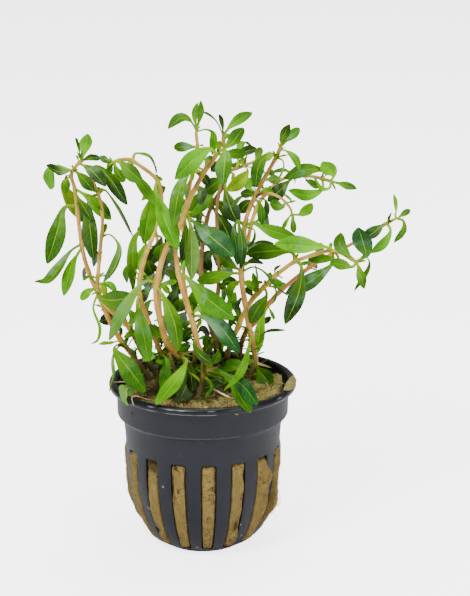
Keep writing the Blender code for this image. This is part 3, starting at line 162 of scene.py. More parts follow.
# A route's points are (across, up, behind). A leaf is (tint, width, roll, reach, foot, ..., tip):
# width is as it is seen, roll 0 faces the eye, 90 faces up, 180 shows its underside, and
# reach is how far its tip lies behind its foot, before it sways and settles.
SHOOTS = {
    "shoot_far_left": shoot(
        PINK_STEM, (0.55, 1.0),
        [(-15.5, 49.4, 7), (-17.5, 53, 6.5), (-20, 56.3, 6), (-22.3, 59.6, 5.5), (-24, 62, 5),
         (-26.5, 66.5, 4), (-28.8, 72, 3), (-31.4, 78.5, 1), (-32.7, 82, 0), (-34.3, 88, -2),
         (-35.1, 94, -4), (-35.7, 100, -6), (-36.4, 107.3, -8), (-37.3, 111, -9),
         (-36.2, 113.4, -10), (-34.2, 115.8, -11)],
        [(DEEP, 4.4, 60, -1, (-37, 113.2), (-40.8, 112.2), (-44.3, 114.1)),
         (BRIGHT, 4.0, 10, 4, (-37, 112.6), (-41.2, 114), (-43.2, 112.4), (-43.4, 107.2)),
         (MID, 3.0, 75, 1, (-34.3, 115.6), (-35.1, 119), (-35.9, 122.1)),
         (BRIGHT, 3.6, 0, 3, (-34.2, 115.8), (-33.1, 119), (-32.3, 123.3)),
         (DARK, 2.6, 40, 2, (-34.6, 115.4), (-32, 116.2), (-28.9, 116.4)),
         (DEEP, 3.8, 5, -4, (-35, 114.8), (-31.6, 112.7), (-27.5, 107.9)),
         (SHADED, 3.4, 0, 1, (-36.6, 113), (-33.6, 110), (-30.8, 106.5)),
         (YOUNG, 4.4, 10, 5, (-37.3, 111), (-39.9, 108), (-34.5, 98.2)),
         (LIME, 3.9, 15, 4, (-36.4, 107.3), (-31.5, 104), (-26.2, 98.2)),
         (DARK, 3.6, 20, -3, (-36.3, 106.4), (-34.6, 103), (-31.8, 98)),
         (SHADED, 5.2, 0, -3, (-36.2, 102.4), (-39.6, 101.4), (-42, 93.8), (-44.8, 85)),
         (FRESH, 4.1, 45, -3, (-34.8, 91), (-38, 88.6), (-41.6, 83.2), (-44.9, 79.5),
          (-48.5, 79.5)),
         (BRIGHT, 3.4, 35, -4, (-34.6, 90), (-37.6, 84.5), (-40.2, 75.3)),
         (LIME, 2.4, 60, -2, (-24, 61.6), (-27, 60.9), (-30.2, 60.4)),
         (DARK, 2.0, 50, 2, (-24, 62.2), (-23.9, 64), (-24.4, 66.3)),
         (DARK, 2.4, 60, -2, (-22.6, 60.4), (-21.2, 59), (-19.4, 56)),
         (MID, 6.0, 0, -17, (-23.4, 61), (-25.8, 59), (-21.8, 53.2), (-16.8, 45.8)),
         (PALE, 2.4, 70, -12, (-23.6, 60.6), (-26, 57.5), (-25.9, 51.5), (-27.4, 46)),
         (MID, 3.6, 20, 9, (-35.8, 100), (-34.8, 101.6), (-33.6, 97.6)),
         (DARK, 1.6, 20, 10, (-32.8, 82.6), (-33.6, 83.8), (-34.4, 80)),
         (MID, 3.2, 20, 9, (-28.4, 71), (-27.4, 72.4), (-25.6, 69)),
         (LIME, 2.6, 15, 2, (-37.2, 111), (-38.8, 110.8), (-38.8, 106.2))],
    ),
    "shoot_left": shoot(
        TAN_STEM, (0.5, 1.0),
        [(-13.4, 50.8, 11), (-16, 54.8, 9.5), (-18.5, 59.8, 8), (-21, 65, 6), (-23.5, 68, 4),
         (-26.5, 70.7, 1.5), (-29, 74, -1.5), (-30.4, 77.5, -3), (-30, 83, -4), (-29.3, 90, -4.5),
         (-28.6, 96.5, -5), (-28.8, 102, -5.5), (-29.7, 105.8, -6), (-31, 109.3, -6.5),
         (-32.3, 112.3, -7)],
        [(DARK, 3.8, 0, -5, (-32.2, 112), (-29.9, 113.8), (-26, 110), (-21.4, 102.6)),
         (MID, 3.4, 80, 2, (-29.6, 105.7), (-27.6, 106.8), (-24.6, 102.2), (-19.9, 93)),
         (DARK, 4.6, 0, -3, (-29.9, 105.6), (-32.2, 104.2), (-32.3, 98), (-31.3, 86)),
         (BRIGHT, 1.4, 40, -1, (-29.6, 106.2), (-29.2, 107.8)),
         (PALE, 3.2, 150, -3, (-29, 92.9), (-26.4, 93.6), (-23.7, 90), (-25.2, 84.5),
          (-28.6, 79.4)),
         (BRIGHT, 1.6, 30, -1, (-28.9, 93.3), (-27.9, 95), (-27.5, 97)),
         (BRIGHT, 1.6, 60, -2, (-30.2, 80.8), (-32.4, 81.2), (-34.3, 79.9)),
         (BRIGHT, 1.6, 60, -2, (-30.2, 80.6), (-28.4, 81.3), (-26.6, 80.7)),
         (LIME, 2.4, 30, -2, (-30.4, 77.6), (-33, 76.6), (-35.2, 74)),
         (BRIGHT, 2.6, 20, -3, (-30.3, 78.3), (-27.9, 79.2), (-26.3, 77.9), (-24.8, 76.2)),
         (MID, 5.6, 8, -7, (-30.3, 77), (-30.2, 74.8), (-25.5, 74), (-19.4, 75.2)),
         (LIME, 1.8, 60, -6, (-30.5, 76.2), (-31.8, 71.5), (-30.2, 66), (-30.6, 62), (-32.7, 60.5)),
         (DEEP, 3.8, 10, 6, (-21.3, 65.6), (-23.6, 69.5), (-29.8, 67.4)),
         (DEEP, 3.4, 20, 5, (-20.4, 64), (-20.3, 68), (-14.4, 70.4)),
         (MID, 2.4, 40, -3, (-21.2, 64.6), (-22.6, 63), (-18.4, 64.4)),
         (MID, 1.6, 20, 9, (-28.7, 101), (-28.2, 102.4), (-26.6, 99)),
         (DARK, 1.6, 20, 11, (-29.6, 87), (-30.6, 88), (-31.4, 84)),
         (MID, 3.2, 20, 9, (-18.2, 59), (-17.2, 60), (-15.6, 57)),
         (YOUNG, 2.0, 20, -2, (-30.3, 78.5), (-29, 79), (-28.2, 75.4)),
         (PALE, 1.8, 30, -2, (-20.6, 64), (-21.6, 63.4), (-22.4, 60.4)),
         (BRIGHT, 2.4, 20, -1, (-21, 65.6), (-20, 68.4), (-21.4, 71.4))],
    ),
    "shoot_left_arching": shoot(
        TAN_STEM, (0.6, 1.0),
        [(-12.3, 48.5, 4.5), (-12.2, 53, 3), (-12.4, 58, 1), (-14, 62.5, -1), (-15.2, 66, -2),
         (-16.6, 70, -3.5), (-17.8, 73.5, -5), (-18.3, 77, -6.5), (-17.9, 81, -8),
         (-17, 85.5, -10), (-15, 91, -12), (-13.8, 94.5, -13), (-12.7, 98.5, -14.5),
         (-11.6, 103, -16), (-11.8, 107, -18), (-12.8, 109.8, -19), (-14.4, 111.6, -20),
         (-17, 113.6, -21), (-19, 115, -22), (-20.4, 115.8, -22.5), (-23, 115.8, -23),
         (-25.2, 115.2, -23.5)],
        [(MID, 4.2, 0, -4, (-24.8, 115.3), (-23.4, 115), (-20.8, 112.8), (-16.7, 109)),
         (PALE, 2.6, 140, -1, (-25, 115.3), (-27.4, 115.5), (-29.1, 116.6)),
         (MID, 2.6, 15, 1, (-25, 115), (-24.2, 112.5), (-22.1, 109.3)),
         (MID, 2.4, 80, 3, (-19.6, 115.5), (-18.8, 117.6), (-15, 116.6), (-13.3, 113.8),
          (-13.1, 111.6)),
         (FRESH, 3.0, 15, 1, (-20, 115.6), (-19.2, 111.4), (-16.4, 107.5), (-12.9, 102.4)),
         (BRIGHT, 5.2, 0, -3, (-12.7, 109.5), (-13.3, 106.5), (-11.2, 99.5), (-7.2, 89)),
         (FRESH, 4.6, 0, 1, (-12.2, 108.6), (-14.5, 103), (-15.9, 97), (-16.7, 90.9)),
         (BRIGHT, 1.6, 30, -1, (-12.6, 109.6), (-12.6, 111.4)),
         (BRIGHT, 1.6, 30, 1, (-12.4, 109.4), (-11.5, 110.6)),
         (DEEP, 3.9, 10, 8, (-14.1, 93.6), (-11.6, 92.6), (-13, 88.5), (-15.8, 84.4)),
         (FRESH, 3.1, 5, 2, (-14.5, 92.4), (-17.2, 94.8), (-19.7, 92), (-20.3, 85), (-20, 76.4)),
         (BRIGHT, 2.2, 0, 4, (-17.9, 81), (-20.4, 84.2), (-22, 82), (-21.8, 79.2)),
         (FRESH, 4.9, 0, -4, (-18.1, 75.5), (-18.9, 73), (-17.7, 66.5), (-15.6, 55.2)),
         (DARK, 2.8, 40, 5, (-17.9, 80), (-15.6, 82), (-14.4, 83.4)),
         (LIME, 2.4, 20, -4, (-12.3, 57.6), (-14.6, 57.2), (-17.6, 55.4)),
         (BRIGHT, 2.0, 40, -5, (-12.2, 56.6), (-13.2, 55.4), (-11, 54)),
         (BRIGHT, 3.0, 20, -6, (-12.3, 58), (-10.4, 55), (-12.2, 46.6)),
         (MID, 3.8, 20, 12, (-12.2, 100), (-13.2, 101.6), (-14.6, 97.6)),
         (DARK, 3.8, 20, 12, (-17.4, 85), (-16.2, 86), (-14.4, 82)),
         (MID, 3.4, 20, 10, (-14.6, 64), (-13.4, 65), (-12.2, 61)),
         (YOUNG, 1.4, 30, -4, (-12.4, 57.4), (-13, 59), (-13.6, 60.4)),
         (YOUNG, 1.3, 40, -3, (-12.3, 56.6), (-10.8, 57.8), (-9.4, 58.6)),
         (BRIGHT, 1.6, 30, -4, (-12.3, 56), (-11, 55.8), (-9.2, 54)),
         (MID, 2.2, 20, 1, (-25, 115), (-26.4, 115.2), (-26.3, 111.6))],
    ),
    "shoot_centre_front": shoot(
        DULL_STEM, (0.7, 1.25),
        [(-1.6, 48.4, 4), (-2.6, 51, 3), (-4.5, 54, 2), (-6.8, 56.8, 0), (-9.3, 59.4, -2),
         (-10.7, 62, -3.5), (-11.6, 65, -5), (-12.4, 68.5, -6.5), (-13.2, 72.5, -8),
         (-13.4, 76, -9), (-13.2, 79.2, -10), (-12.2, 83.8, -11), (-10.8, 88.3, -12),
         (-9, 92.2, -13), (-6.6, 96.3, -14), (-4.9, 99.7, -14.5), (-4, 102.8, -15),
         (-2.4, 106.4, -16), (-0.5, 110, -17), (1, 112.7, -17.5), (2.8, 114.9, -18),
         (4.7, 118.2, -19)],
        [(BRIGHT, 5.0, 5, -5, (4.2, 117.4), (2.2, 118.8), (-2.4, 115.8), (-7.6, 110.1)),
         (MID, 4.7, 0, -9, (4.6, 118), (6.6, 118.2), (6.5, 113.5), (6, 108.2)),
         (YOUNG, 1.8, 30, -2, (4.6, 118), (5.3, 121.3)),
         (SHADED, 3.8, 10, 2, (4.6, 117.8), (8.3, 120.3), (10.4, 123), (11.9, 125)),
         (MID, 2.9, 30, 5, (4.4, 117.4), (8.4, 117.4), (12.6, 117.8)),
         (MID, 3.8, 0, -5, (0.9, 112.8), (-2.5, 113.4), (-6, 108), (-7.4, 102), (-8.3, 95.4)),
         (MID, 2.2, 20, 3, (1.2, 113), (1.4, 115), (3.4, 116.4)),
         (YOUNG, 1.8, 30, -1, (0.6, 112), (-2, 112.4), (-2.6, 109.8)),
         (PALE, 4.4, 175, -6, (-4.9, 99.4), (-3.4, 96.8), (-3, 89), (-3, 80.3)),
         (BLUISH, 6.1, 0, -3, (-4.7, 100), (-2.8, 97.9), (2.5, 93), (9.2, 87.2)),
         (DEEP, 3.3, 10, 4, (-5.1, 99.2), (-4.6, 95), (-4.9, 90), (-5.6, 85.3)),
         (PALE, 3.4, 165, -9, (-13.3, 78.8), (-15.8, 79.9), (-18.8, 77.5), (-23.5, 70),
          (-27.2, 61.8)),
         (LIME, 2.4, 10, 5, (-13.2, 79.4), (-16.3, 81.2), (-18.3, 84.8), (-16, 91.2)),
         (BLUISH, 3.1, 0, 6, (-13.3, 78.2), (-15.6, 77.2), (-18.1, 73.3)),
         (MID, 4.9, 0, -4, (-13.3, 78.6), (-11, 74.4), (-8.1, 67), (-6.9, 58.4)),
         (LIME, 2.6, 50, 2, (-13.2, 79), (-10.5, 78.8), (-7.5, 79.8)),
         (MID, 3.2, 10, 5, (-10.6, 62), (-13.6, 64.4), (-15.6, 66.2)),
         (BRIGHT, 4.4, 0, -20, (-6.6, 56.7), (-4.7, 55.2), (-8, 49), (-13.7, 41.8)),
         (GREYISH, 5.4, 0, -9, (-5.4, 55.2), (-4, 50.4), (-7.6, 41.4)),
         (STRAW, 0.6, 0, -3, (-7, 57.1), (-3.2, 54.8)),
         (STRAW, 0.6, 0, -3, (-7.4, 57.6), (-4.6, 58), (-2.6, 58.2)),
         (DARK, 4.0, 20, 12, (-2.4, 106.6), (-1, 107.6), (0.2, 103)),
         (MID, 4.0, 20, 12, (-10.2, 89.6), (-11.6, 90.4), (-12.4, 86)),
         (DARK, 3.8, 20, 11, (-12.2, 67.8), (-11, 68.6), (-9.6, 65)),
         (DEEP, 3.2, 10, -5, (-6, 56), (-3.6, 52), (-2.9, 45.6)),
         (FRESH, 2.2, 20, -1, (-13.3, 77.6), (-11.8, 78.4), (-9.6, 76)),
         (SHADED, 2.6, 20, -2, (-6.8, 56.8), (-6.2, 59), (-3.4, 60.2))],
    ),
    "shoot_centre_tall": shoot(
        PINK_STEM, (0.55, 1.05),
        [(-1, 44.2, -8), (-0.3, 47.5, -8.2), (0.4, 51, -8.5), (0.6, 53.8, -9), (-0.7, 58.5, -9.5),
         (-1.8, 62, -10), (-2.6, 66.3, -10.5), (-3.3, 68.8, -11), (-4.2, 72, -11),
         (-5.4, 76, -10.5), (-6.3, 79.5, -10), (-6.9, 82.3, -9.5), (-7.4, 86, -8.5),
         (-7.7, 89.5, -7), (-7, 93.5, -5), (-5.8, 98, -3), (-4.6, 102, -1), (-3.8, 105.8, 0),
         (-3.2, 109.3, 1), (-2.3, 113, 2), (-1.5, 116.5, 2.5), (-1.2, 120, 3),
         (-1.5, 123, 3.5), (-1.4, 124.6, 3.5)],
        [(SHADED, 4.2, 50, -1, (-1.5, 124.2), (-3.2, 127), (-6, 127.7), (-9.5, 124.8)),
         (FRESH, 1.9, 10, 1, (-1.5, 124.4), (-1.9, 129), (-1.1, 132.3)),
         (FRESH, 2.0, -10, -1, (-1.4, 124.4), (-0.4, 129), (-0.3, 132.9)),
         (BRIGHT, 2.8, 20, -1, (-1.4, 124), (1.5, 124.6), (3.7, 123.2), (3.1, 117.2)),
         (MID, 2.8, 20, 1, (-1.2, 119.5), (-4, 119.6), (-7.9, 119.4)),
         (PALE, 2.0, 60, -2, (-2.8, 111.5), (-4.1, 108), (-4.3, 103.6)),
         (DARK, 2.6, 30, 5, (-2.4, 112.6), (0.6, 110.6), (2.2, 108)),
         (MID, 3.2, 60, 1, (-6.8, 82.4), (-5.8, 84.9), (-7.6, 86.9), (-9.7, 86.4), (-11.6, 79.6)),
         (FRESH, 6.2, 0, -7, (-6.7, 81.4), (-4.9, 81.2), (0.8, 75), (9.2, 68.3)),
         (LIME, 2.0, 10, -3, (-6.8, 82), (-5, 84.9), (-2, 87.1)),
         (BLUISH, 4.9, 0, -3, (-3.2, 68.2), (-1.2, 69.2), (4.8, 66.3), (10.9, 57.9)),
         (BRIGHT, 2.4, 20, 1, (-3.4, 69), (-0.8, 71.4), (1.2, 68.8)),
         (YOUNG, 1.4, 40, 3, (-2.9, 67.4), (-1.4, 66), (-0.3, 68)),
         (DARK, 3.0, 10, -4, (-1.9, 62.8), (-2.4, 60), (-0.4, 56.8), (3.2, 54.3)),
         (BLUISH, 4.4, 0, -12, (0.4, 54.2), (5, 52.3), (9, 50), (12.8, 46.6), (16.1, 41.8)),
         (MID, 4.0, 0, -11, (0.5, 52.6), (6, 51), (9.4, 47.6), (11.2, 43.8), (14.1, 39.3)),
         (SHADED, 1.0, 30, -4, (0.3, 50.8), (2.6, 47.6), (1.2, 43.8)),
         (YOUNG, 1.6, 30, -3, (0.5, 53.4), (2.9, 54.6)),
         (STRAW, 0.6, 0, -5, (0.6, 52), (4.6, 53.6)),
         (DEEP, 3.2, 0, 6, (0.5, 51.4), (4.4, 50.4), (9.6, 48.6)),
         (MID, 3.8, 20, 12, (-5.6, 98.6), (-7, 99.6), (-7.6, 95)),
         (DARK, 3.8, 20, 11, (-7.5, 90), (-6.2, 91), (-4.6, 87)),
         (MID, 3.6, 20, 10, (-4.6, 73.4), (-6, 74.2), (-7, 70.4)),
         (SHADED, 2.2, 20, 1, (-2.4, 65.6), (-3.8, 67), (-5.6, 65.4))],
    ),
    "shoot_right_centre": shoot(
        DULL_STEM, (0.6, 1.1),
        [(13.6, 48.5, 4.4), (14.3, 51.8, 4), (15.3, 55, 3.5), (15.1, 58.5, 2.5),
         (14.5, 61.8, 1.5), (13.9, 64.5, 0.5), (13.3, 67, 0), (12.8, 70.3, -0.7),
         (12.2, 74.3, -1.5), (11.5, 78.5, -2.5), (11.2, 81.8, -3.3), (11.7, 86, -4),
         (12.2, 90.5, -4.7), (12.2, 95, -5.5), (12.6, 98, -6), (13.7, 101.4, -6),
         (14.9, 104.2, -6), (16, 106.6, -5.5), (18, 110.5, -5), (19.9, 114, -4.5),
         (21.4, 116.8, -4), (22.3, 119, -3.5), (22.8, 120.3, -3.5)],
        [(DARK, 2.6, 20, -1, (22.6, 119.8), (23.2, 122.5), (25, 126.1)),
         (MID, 2.6, -10, 1, (22.6, 119.8), (24.8, 122), (27.8, 125)),
         (FRESH, 3.0, 45, -3, (22.3, 118.7), (24.4, 118.2), (26.6, 115.9), (27.9, 112.5)),
         (MID, 3.7, 0, -5, (21.2, 116.6), (19.3, 117.7), (16.3, 113.8), (15.4, 107.7)),
         (LIME, 2.4, 80, -2, (21.4, 116.2), (23.1, 115.6), (23.4, 113.3), (22.2, 110.3),
          (20.9, 108.7)),
         (PALE, 2.6, 160, 5, (17.6, 109.8), (19.4, 110), (22.4, 110)),
         (DARK, 2.6, 5, -3, (15.4, 105.4), (13.2, 105.8), (11.1, 106.1)),
         (BRIGHT, 2.4, 5, 2, (15.6, 106), (13.4, 107.6), (14.3, 110.6)),
         (PALE, 1.9, 150, 3, (15.2, 104.8), (11.5, 105), (8.9, 101.8)),
         (BRIGHT, 2.6, 10, 3, (15.8, 105.8), (18.4, 106.4), (20.8, 105.6)),
         (MID, 2.3, 10, -2, (15, 104.4), (16.7, 102.4), (17.3, 96.7)),
         (MID, 2.2, 20, 2, (15.2, 104.8), (18.7, 103.4), (18.3, 98.1)),
         (FRESH, 3.9, 0, -5, (12.4, 96.6), (15, 97), (20.5, 94.7), (27.6, 92.6)),
         (BLUISH, 2.9, 0, -3, (12.4, 96.8), (10.6, 97.3), (11.6, 91), (11.3, 83.5)),
         (BLUISH, 2.5, 5, -1, (12.3, 96.2), (10.3, 97.7), (9.3, 95.3), (9.9, 90), (10.2, 84.4)),
         (FRESH, 2.0, 70, 1, (12.3, 95.8), (14.9, 95.2), (15.3, 92.4), (13.4, 89.8)),
         (LIME, 3.8, 15, 4, (11.3, 82), (8.3, 82), (3, 80.8), (-1.5, 79.8)),
         (MID, 2.8, 80, -5, (11.3, 82.3), (14.8, 84), (18, 82.4), (21, 78.4), (25.8, 74.7)),
         (MID, 3.2, 10, 9, (11.4, 82.8), (8.6, 84.6), (5, 87.2)),
         (DEEP, 2.2, 40, 6, (11.5, 84), (14.4, 85.7), (17.7, 85.1)),
         (BRIGHT, 2.2, 25, -25, (13.9, 63.4), (13.3, 58.5), (12, 53.6), (9.8, 49.8), (6.3, 46.2)),
         (DARK, 1.8, 60, -2, (15, 59.6), (16.7, 61.2), (18.6, 64.2), (24.2, 64.8)),
         (STRAW, 0.6, 0, -2, (14, 64.6), (16.6, 63.7)),
         (STRAW, 0.6, 0, -2, (15.3, 55), (20.2, 53.2)),
         (MID, 5.4, 0, -2, (15.2, 54.6), (16.5, 52.7), (20.2, 47.6)),
         (BRIGHT, 4.2, 10, 6, (15.2, 54.8), (10.6, 54), (5, 53.2)),
         (PALE, 1.8, 40, -3, (15.3, 55.4), (13.4, 55.2)),
         (MID, 3.8, 20, 12, (12.2, 90), (13.4, 91), (14.6, 87.4)),
         (DARK, 1.2, 20, 12, (12.4, 73.4), (11.2, 74.4), (9.6, 71)),
         (MID, 2.0, 20, 10, (18.2, 111), (19.4, 112.4), (20.6, 110)),
         (YOUNG, 1.8, 20, 0, (21, 116), (19.8, 117.6), (18.6, 115.4))],
        [shoot(
            DULL_STEM, (0.4, 0.5),
            [(15.2, 104.8, -6), (16.4, 105.4, -6.6), (18, 106, -7), (20, 105.8, -7.3),
             (22.5, 104.6, -7.6), (24, 103.3, -7.8), (25.5, 101.2, -8), (25.9, 99.2, -8.2)],
            [(LIME, 3.0, 0, -2, (25.8, 99.6), (28.6, 99.9), (31.6, 103)),
             (LIME, 1.9, 50, -1, (25.7, 100), (24.4, 97.5), (23, 94.9)),
             (FRESH, 1.8, 0, 1, (25.8, 99.8), (26.3, 96.6), (26.4, 94.2)),
             (MID, 3.2, 0, -2, (24, 103.2), (22.8, 102), (19.5, 103)),
             (BRIGHT, 1.6, 60, 1, (24, 103.2), (25.6, 103.6), (23.5, 105.5))],
        )],
    ),
    "shoot_right_arching": shoot(
        TAN_STEM, (0.6, 1.05),
        [(6.9, 52.6, 17), (7.4, 57.5, 14), (8.6, 61.5, 11.5), (10.3, 65.5, 9.5), (11.6, 68.8, 8),
         (13.2, 72, 6.5), (14.8, 74.6, 5), (16.6, 76.6, 3.5), (18.8, 78.9, 1.5), (21, 81.2, -1),
         (23.8, 83.5, -3.5), (26.8, 85.6, -6), (30, 86.9, -8), (33.5, 88.1, -10),
         (37.2, 88.9, -12), (40.3, 88.1, -13.5), (43, 86.4, -14.5), (44.8, 85.3, -15)],
        [(FRESH, 3.4, 10, 1, (44.2, 85.6), (42.2, 87.8), (39.7, 90.8), (40, 94.2)),
         (FRESH, 3.2, 0, -2, (44.4, 85.4), (43.4, 84), (40.8, 84.6), (36.9, 85.2)),
         (MID, 2.8, 0, -2, (44.6, 85.3), (45.6, 82.5), (46.4, 80), (47, 77.4)),
         (MID, 2.2, 50, 0, (44.7, 85.4), (46.8, 87.1), (48.4, 85.4), (47.8, 82.5), (44.1, 76.8)),
         (BLUISH, 5.4, 0, -4, (44.5, 85.6), (47.2, 87.4), (46.6, 90.8), (45, 95.7)),
         (BRIGHT, 5.0, 0, -4, (37.6, 88.9), (35.5, 90), (28.5, 90.4), (21, 90.8)),
         (FRESH, 2.7, 30, 3, (38, 88.7), (37.4, 86.6), (34.5, 86.5), (30.7, 86.2)),
         (YOUNG, 1.4, 20, 0, (37.2, 88.9), (37.3, 91.3)),
         (MID, 4.7, 0, 3, (26.7, 85.5), (26, 88.2), (23.4, 89), (17.5, 88.6), (12.8, 87.9)),
         (DEEP, 4.9, 0, -4, (27, 85.6), (28.7, 83.9), (28.4, 78), (27, 73), (24.2, 66.7)),
         (BRIGHT, 1.2, 30, -1, (27.2, 85.7), (28.8, 85), (30.7, 85.4)),
         (BRIGHT, 1.2, 30, 1, (26.8, 85.6), (27.8, 88)),
         (BRIGHT, 1.4, 20, 1, (16.2, 76.2), (15.2, 79.8), (14.7, 82.2)),
         (BRIGHT, 1.2, 60, 2, (16.3, 76.4), (15.9, 80.6), (15.3, 84.8)),
         (YOUNG, 1.2, 60, -1, (16.3, 76.2), (16.2, 79), (17.6, 79.4)),
         (LIME, 2.6, 10, 2, (15.8, 75.8), (14.4, 77.8), (12.6, 79.8)),
         (BRIGHT, 1.8, 20, -1, (20.4, 80.4), (21.2, 79.2), (22, 80.3)),
         (BRIGHT, 1.8, 20, -2, (20, 80), (22.3, 78.4), (24.1, 79)),
         (BRIGHT, 1.4, 40, 2, (20.4, 80.6), (18.8, 82)),
         (BRIGHT, 1.8, 70, -2, (18.4, 78.4), (21.2, 77.6), (21.4, 74.4), (19.6, 72.2)),
         (SHADED, 4.2, 0, -2, (18.2, 78), (18.6, 75.2), (16, 71.4), (13.9, 67)),
         (LIME, 2.8, 20, 5, (8.4, 61.4), (6, 60.6), (4.6, 57)),
         (MID, 2.0, 20, 6, (10.2, 65.6), (10.6, 70), (8.6, 73.6)),
         (MID, 3.8, 20, 11, (32.6, 87.8), (33.4, 89.4), (35, 88)),
         (DARK, 0.9, 20, 11, (21.4, 81.6), (21, 83.2), (22.8, 84.6)),
         (SHADED, 2.6, 20, -1, (10.6, 66.4), (9.4, 68.6), (7.8, 66)),
         (SHADED, 2.0, 20, -2, (14.8, 74.8), (13.8, 76.4), (12.8, 78))],
    ),
    "shoot_far_right": shoot(
        RED_STEM, (0.45, 1.05),
        [(10.2, 53.2, 18.4), (10.8, 57.5, 17.5), (11.6, 61.5, 16.5), (13, 64.8, 15.5),
         (15.2, 67, 15), (17.2, 69.6, 14.5), (19.1, 72.6, 14), (21.6, 75.6, 13.5),
         (24.8, 78.6, 13), (28.6, 81.9, 12), (33, 85.2, 11), (37.5, 87.9, 10), (42.3, 90.4, 9),
         (47, 93.1, 8), (51, 95.6, 7), (54, 97.5, 6.5), (56.3, 98.7, 6.5)],
        [(LIME, 1.9, 50, 1, (55.6, 98.4), (55.6, 102), (54.9, 105.7)),
         (MID, 2.0, 10, -1, (56.1, 98.6), (57.8, 99.7), (59.8, 101)),
         (MID, 2.4, 40, -2, (56, 98.5), (57.9, 97.7), (58, 94.7), (55.4, 91.3)),
         (DEEP, 3.4, 0, -4, (53.6, 97.3), (52.6, 97), (50, 94.8), (46.9, 92.4)),
         (FRESH, 2.7, 30, -2, (53.2, 97), (54.2, 94.5), (52, 90.6), (48.7, 88.2)),
         (BLUISH, 4.7, 0, -3, (37.4, 87.8), (37.5, 84.8), (31.5, 79.7), (24.3, 76)),
         (BRIGHT, 3.2, 0, -5, (19.2, 72.7), (18.3, 70.6), (16.9, 66), (16, 57.6)),
         (BRIGHT, 1.6, 30, -2, (19, 72.4), (19.9, 70.3), (20.8, 68)),
         (DARK, 1.8, 30, 1, (16.8, 69), (18, 67.4), (20, 68.8)),
         (MID, 2.6, 20, 5, (13.6, 65.4), (14, 61), (17.4, 60.6)),
         (MID, 3.6, 20, 11, (45.6, 92.4), (46.6, 94), (48.6, 93.4)),
         (MID, 3.6, 20, 11, (30.6, 83.4), (31, 85), (33.2, 84.6)),
         (MID, 3.4, 20, 11, (22.6, 76.6), (22, 78), (23.6, 79))],
    ),
    "shoot_centre_twig": shoot(
        BROWN_STEM, (0.5, 0.85),
        [(4.3, 53.9, 20.5), (4.6, 59, 20.5), (4.7, 64, 20), (4.5, 70, 18.5), (4.6, 77, 17),
         (4.9, 82, 15), (4.8, 88, 13), (4.4, 94, 11), (4.2, 100, 9), (4.8, 105, 7),
         (5.8, 109.3, 5), (7.6, 112.2, 3.5), (10, 113.2, 2), (12, 114, 1), (14, 114.8, 0),
         (15.8, 115.7, 0)],
        [(PALE, 2.2, 10, 1, (15.3, 115.4), (16, 117.4), (16.9, 119.4)),
         (DEEP, 3.0, 10, 3, (11.8, 113.9), (11.4, 116.6), (12.4, 118), (15.6, 119.1)),
         (YOUNG, 4.0, 0, -6, (12, 114), (13.1, 112.4), (10.4, 109.2), (6.8, 106.7)),
         (BRIGHT, 2.6, 20, 5, (10, 113.2), (11.6, 120.6), (14.5, 119.4)),
         (YOUNG, 1.6, 50, -1, (7.8, 112.2), (9.1, 111.4), (8.8, 109.6)),
         (DARK, 3.4, 10, 3, (4.5, 95), (2, 93.4), (-1, 92.6)),
         (DARK, 3.6, 10, 2, (4.8, 86), (2.6, 88.4), (1, 86.4), (2.6, 82.6)),
         (DARK, 3.2, 10, -2, (4.6, 77), (7, 79.6), (10.6, 78.6)),
         (LIME, 2.8, 20, 4, (4.5, 70), (7.4, 70.6), (9.6, 76.4)),
         (MID, 2.6, 20, -4, (4.6, 62), (2, 62.4), (0.4, 60)),
         (MID, 3.6, 20, 10, (4.9, 83.4), (6.4, 84.4), (7.6, 81)),
         (PALE, 2.2, 20, 2, (4.6, 77), (5.9, 79.2), (6.2, 73.2))],
    ),
    "shoot_top": shoot(
        BROWN_STEM, (0.6, 1.0),
        [(3.2, 51.7, 14), (4, 56, 14.5), (4.1, 60.5, 14.5), (3, 64, 14), (1.7, 68, 13.5),
         (0.7, 71.5, 13.5), (0, 77, 14), (-0.4, 83, 14.5), (0.1, 90, 15), (1.2, 97, 15.5),
         (2.3, 101, 16), (4, 104.5, 16.5), (6, 107.8, 17), (6.9, 110.5, 17.5), (6.8, 114, 18),
         (6.5, 118, 18.5), (6.2, 122, 19), (6.2, 123.6, 19)],
        [(DEEP, 1.8, 40, 1, (6.2, 123.2), (5.8, 126), (5, 128.9)),
         (MID, 2.2, 75, -2, (6.2, 122.6), (4.5, 126.6), (2.2, 128.7), (0, 129.8)),
         (FRESH, 3.0, 25, 3, (6.2, 122.8), (8, 125.3), (11, 127.8), (14.4, 129.4)),
         (BRIGHT, 2.2, 60, 4, (6.3, 121.4), (7.4, 122.6), (9, 121.6)),
         (MID, 4.4, 0, -8, (6.8, 110.6), (4.2, 109.2), (0.7, 106.4)),
         (DEEP, 4.4, 5, -10, (6.6, 109.4), (6.9, 106), (8.4, 101), (10.6, 96.8)),
         (FRESH, 5.2, 5, -4, (5.6, 107.2), (3.4, 106.8), (-0.8, 103), (-3.6, 99.3)),
         (DEEP, 4.3, 0, -3, (3.4, 103.4), (3.3, 101.6), (6, 96.8), (8.9, 90.6)),
         (MID, 1.6, 10, 7, (6.6, 117), (9, 114), (12, 116.2)),
         (DARK, 3.6, 10, 6, (0.3, 91.5), (3.4, 88.8), (5.6, 83.8)),
         (LIME, 3.4, 10, 4, (-0.1, 79), (-2.4, 76), (-3.2, 70.4)),
         (DEEP, 3.2, 10, -3, (3.4, 62.6), (1, 58.4), (-2, 56.4)),
         (MID, 2.6, 20, -5, (4.1, 59.4), (4.6, 57.4), (3.2, 54.4)),
         (DARK, 3.6, 20, 10, (1, 96.6), (-0.4, 97.6), (-1.4, 94)),
         (MID, 3.4, 20, 10, (0.4, 71.6), (1.8, 72.6), (2.8, 69)),
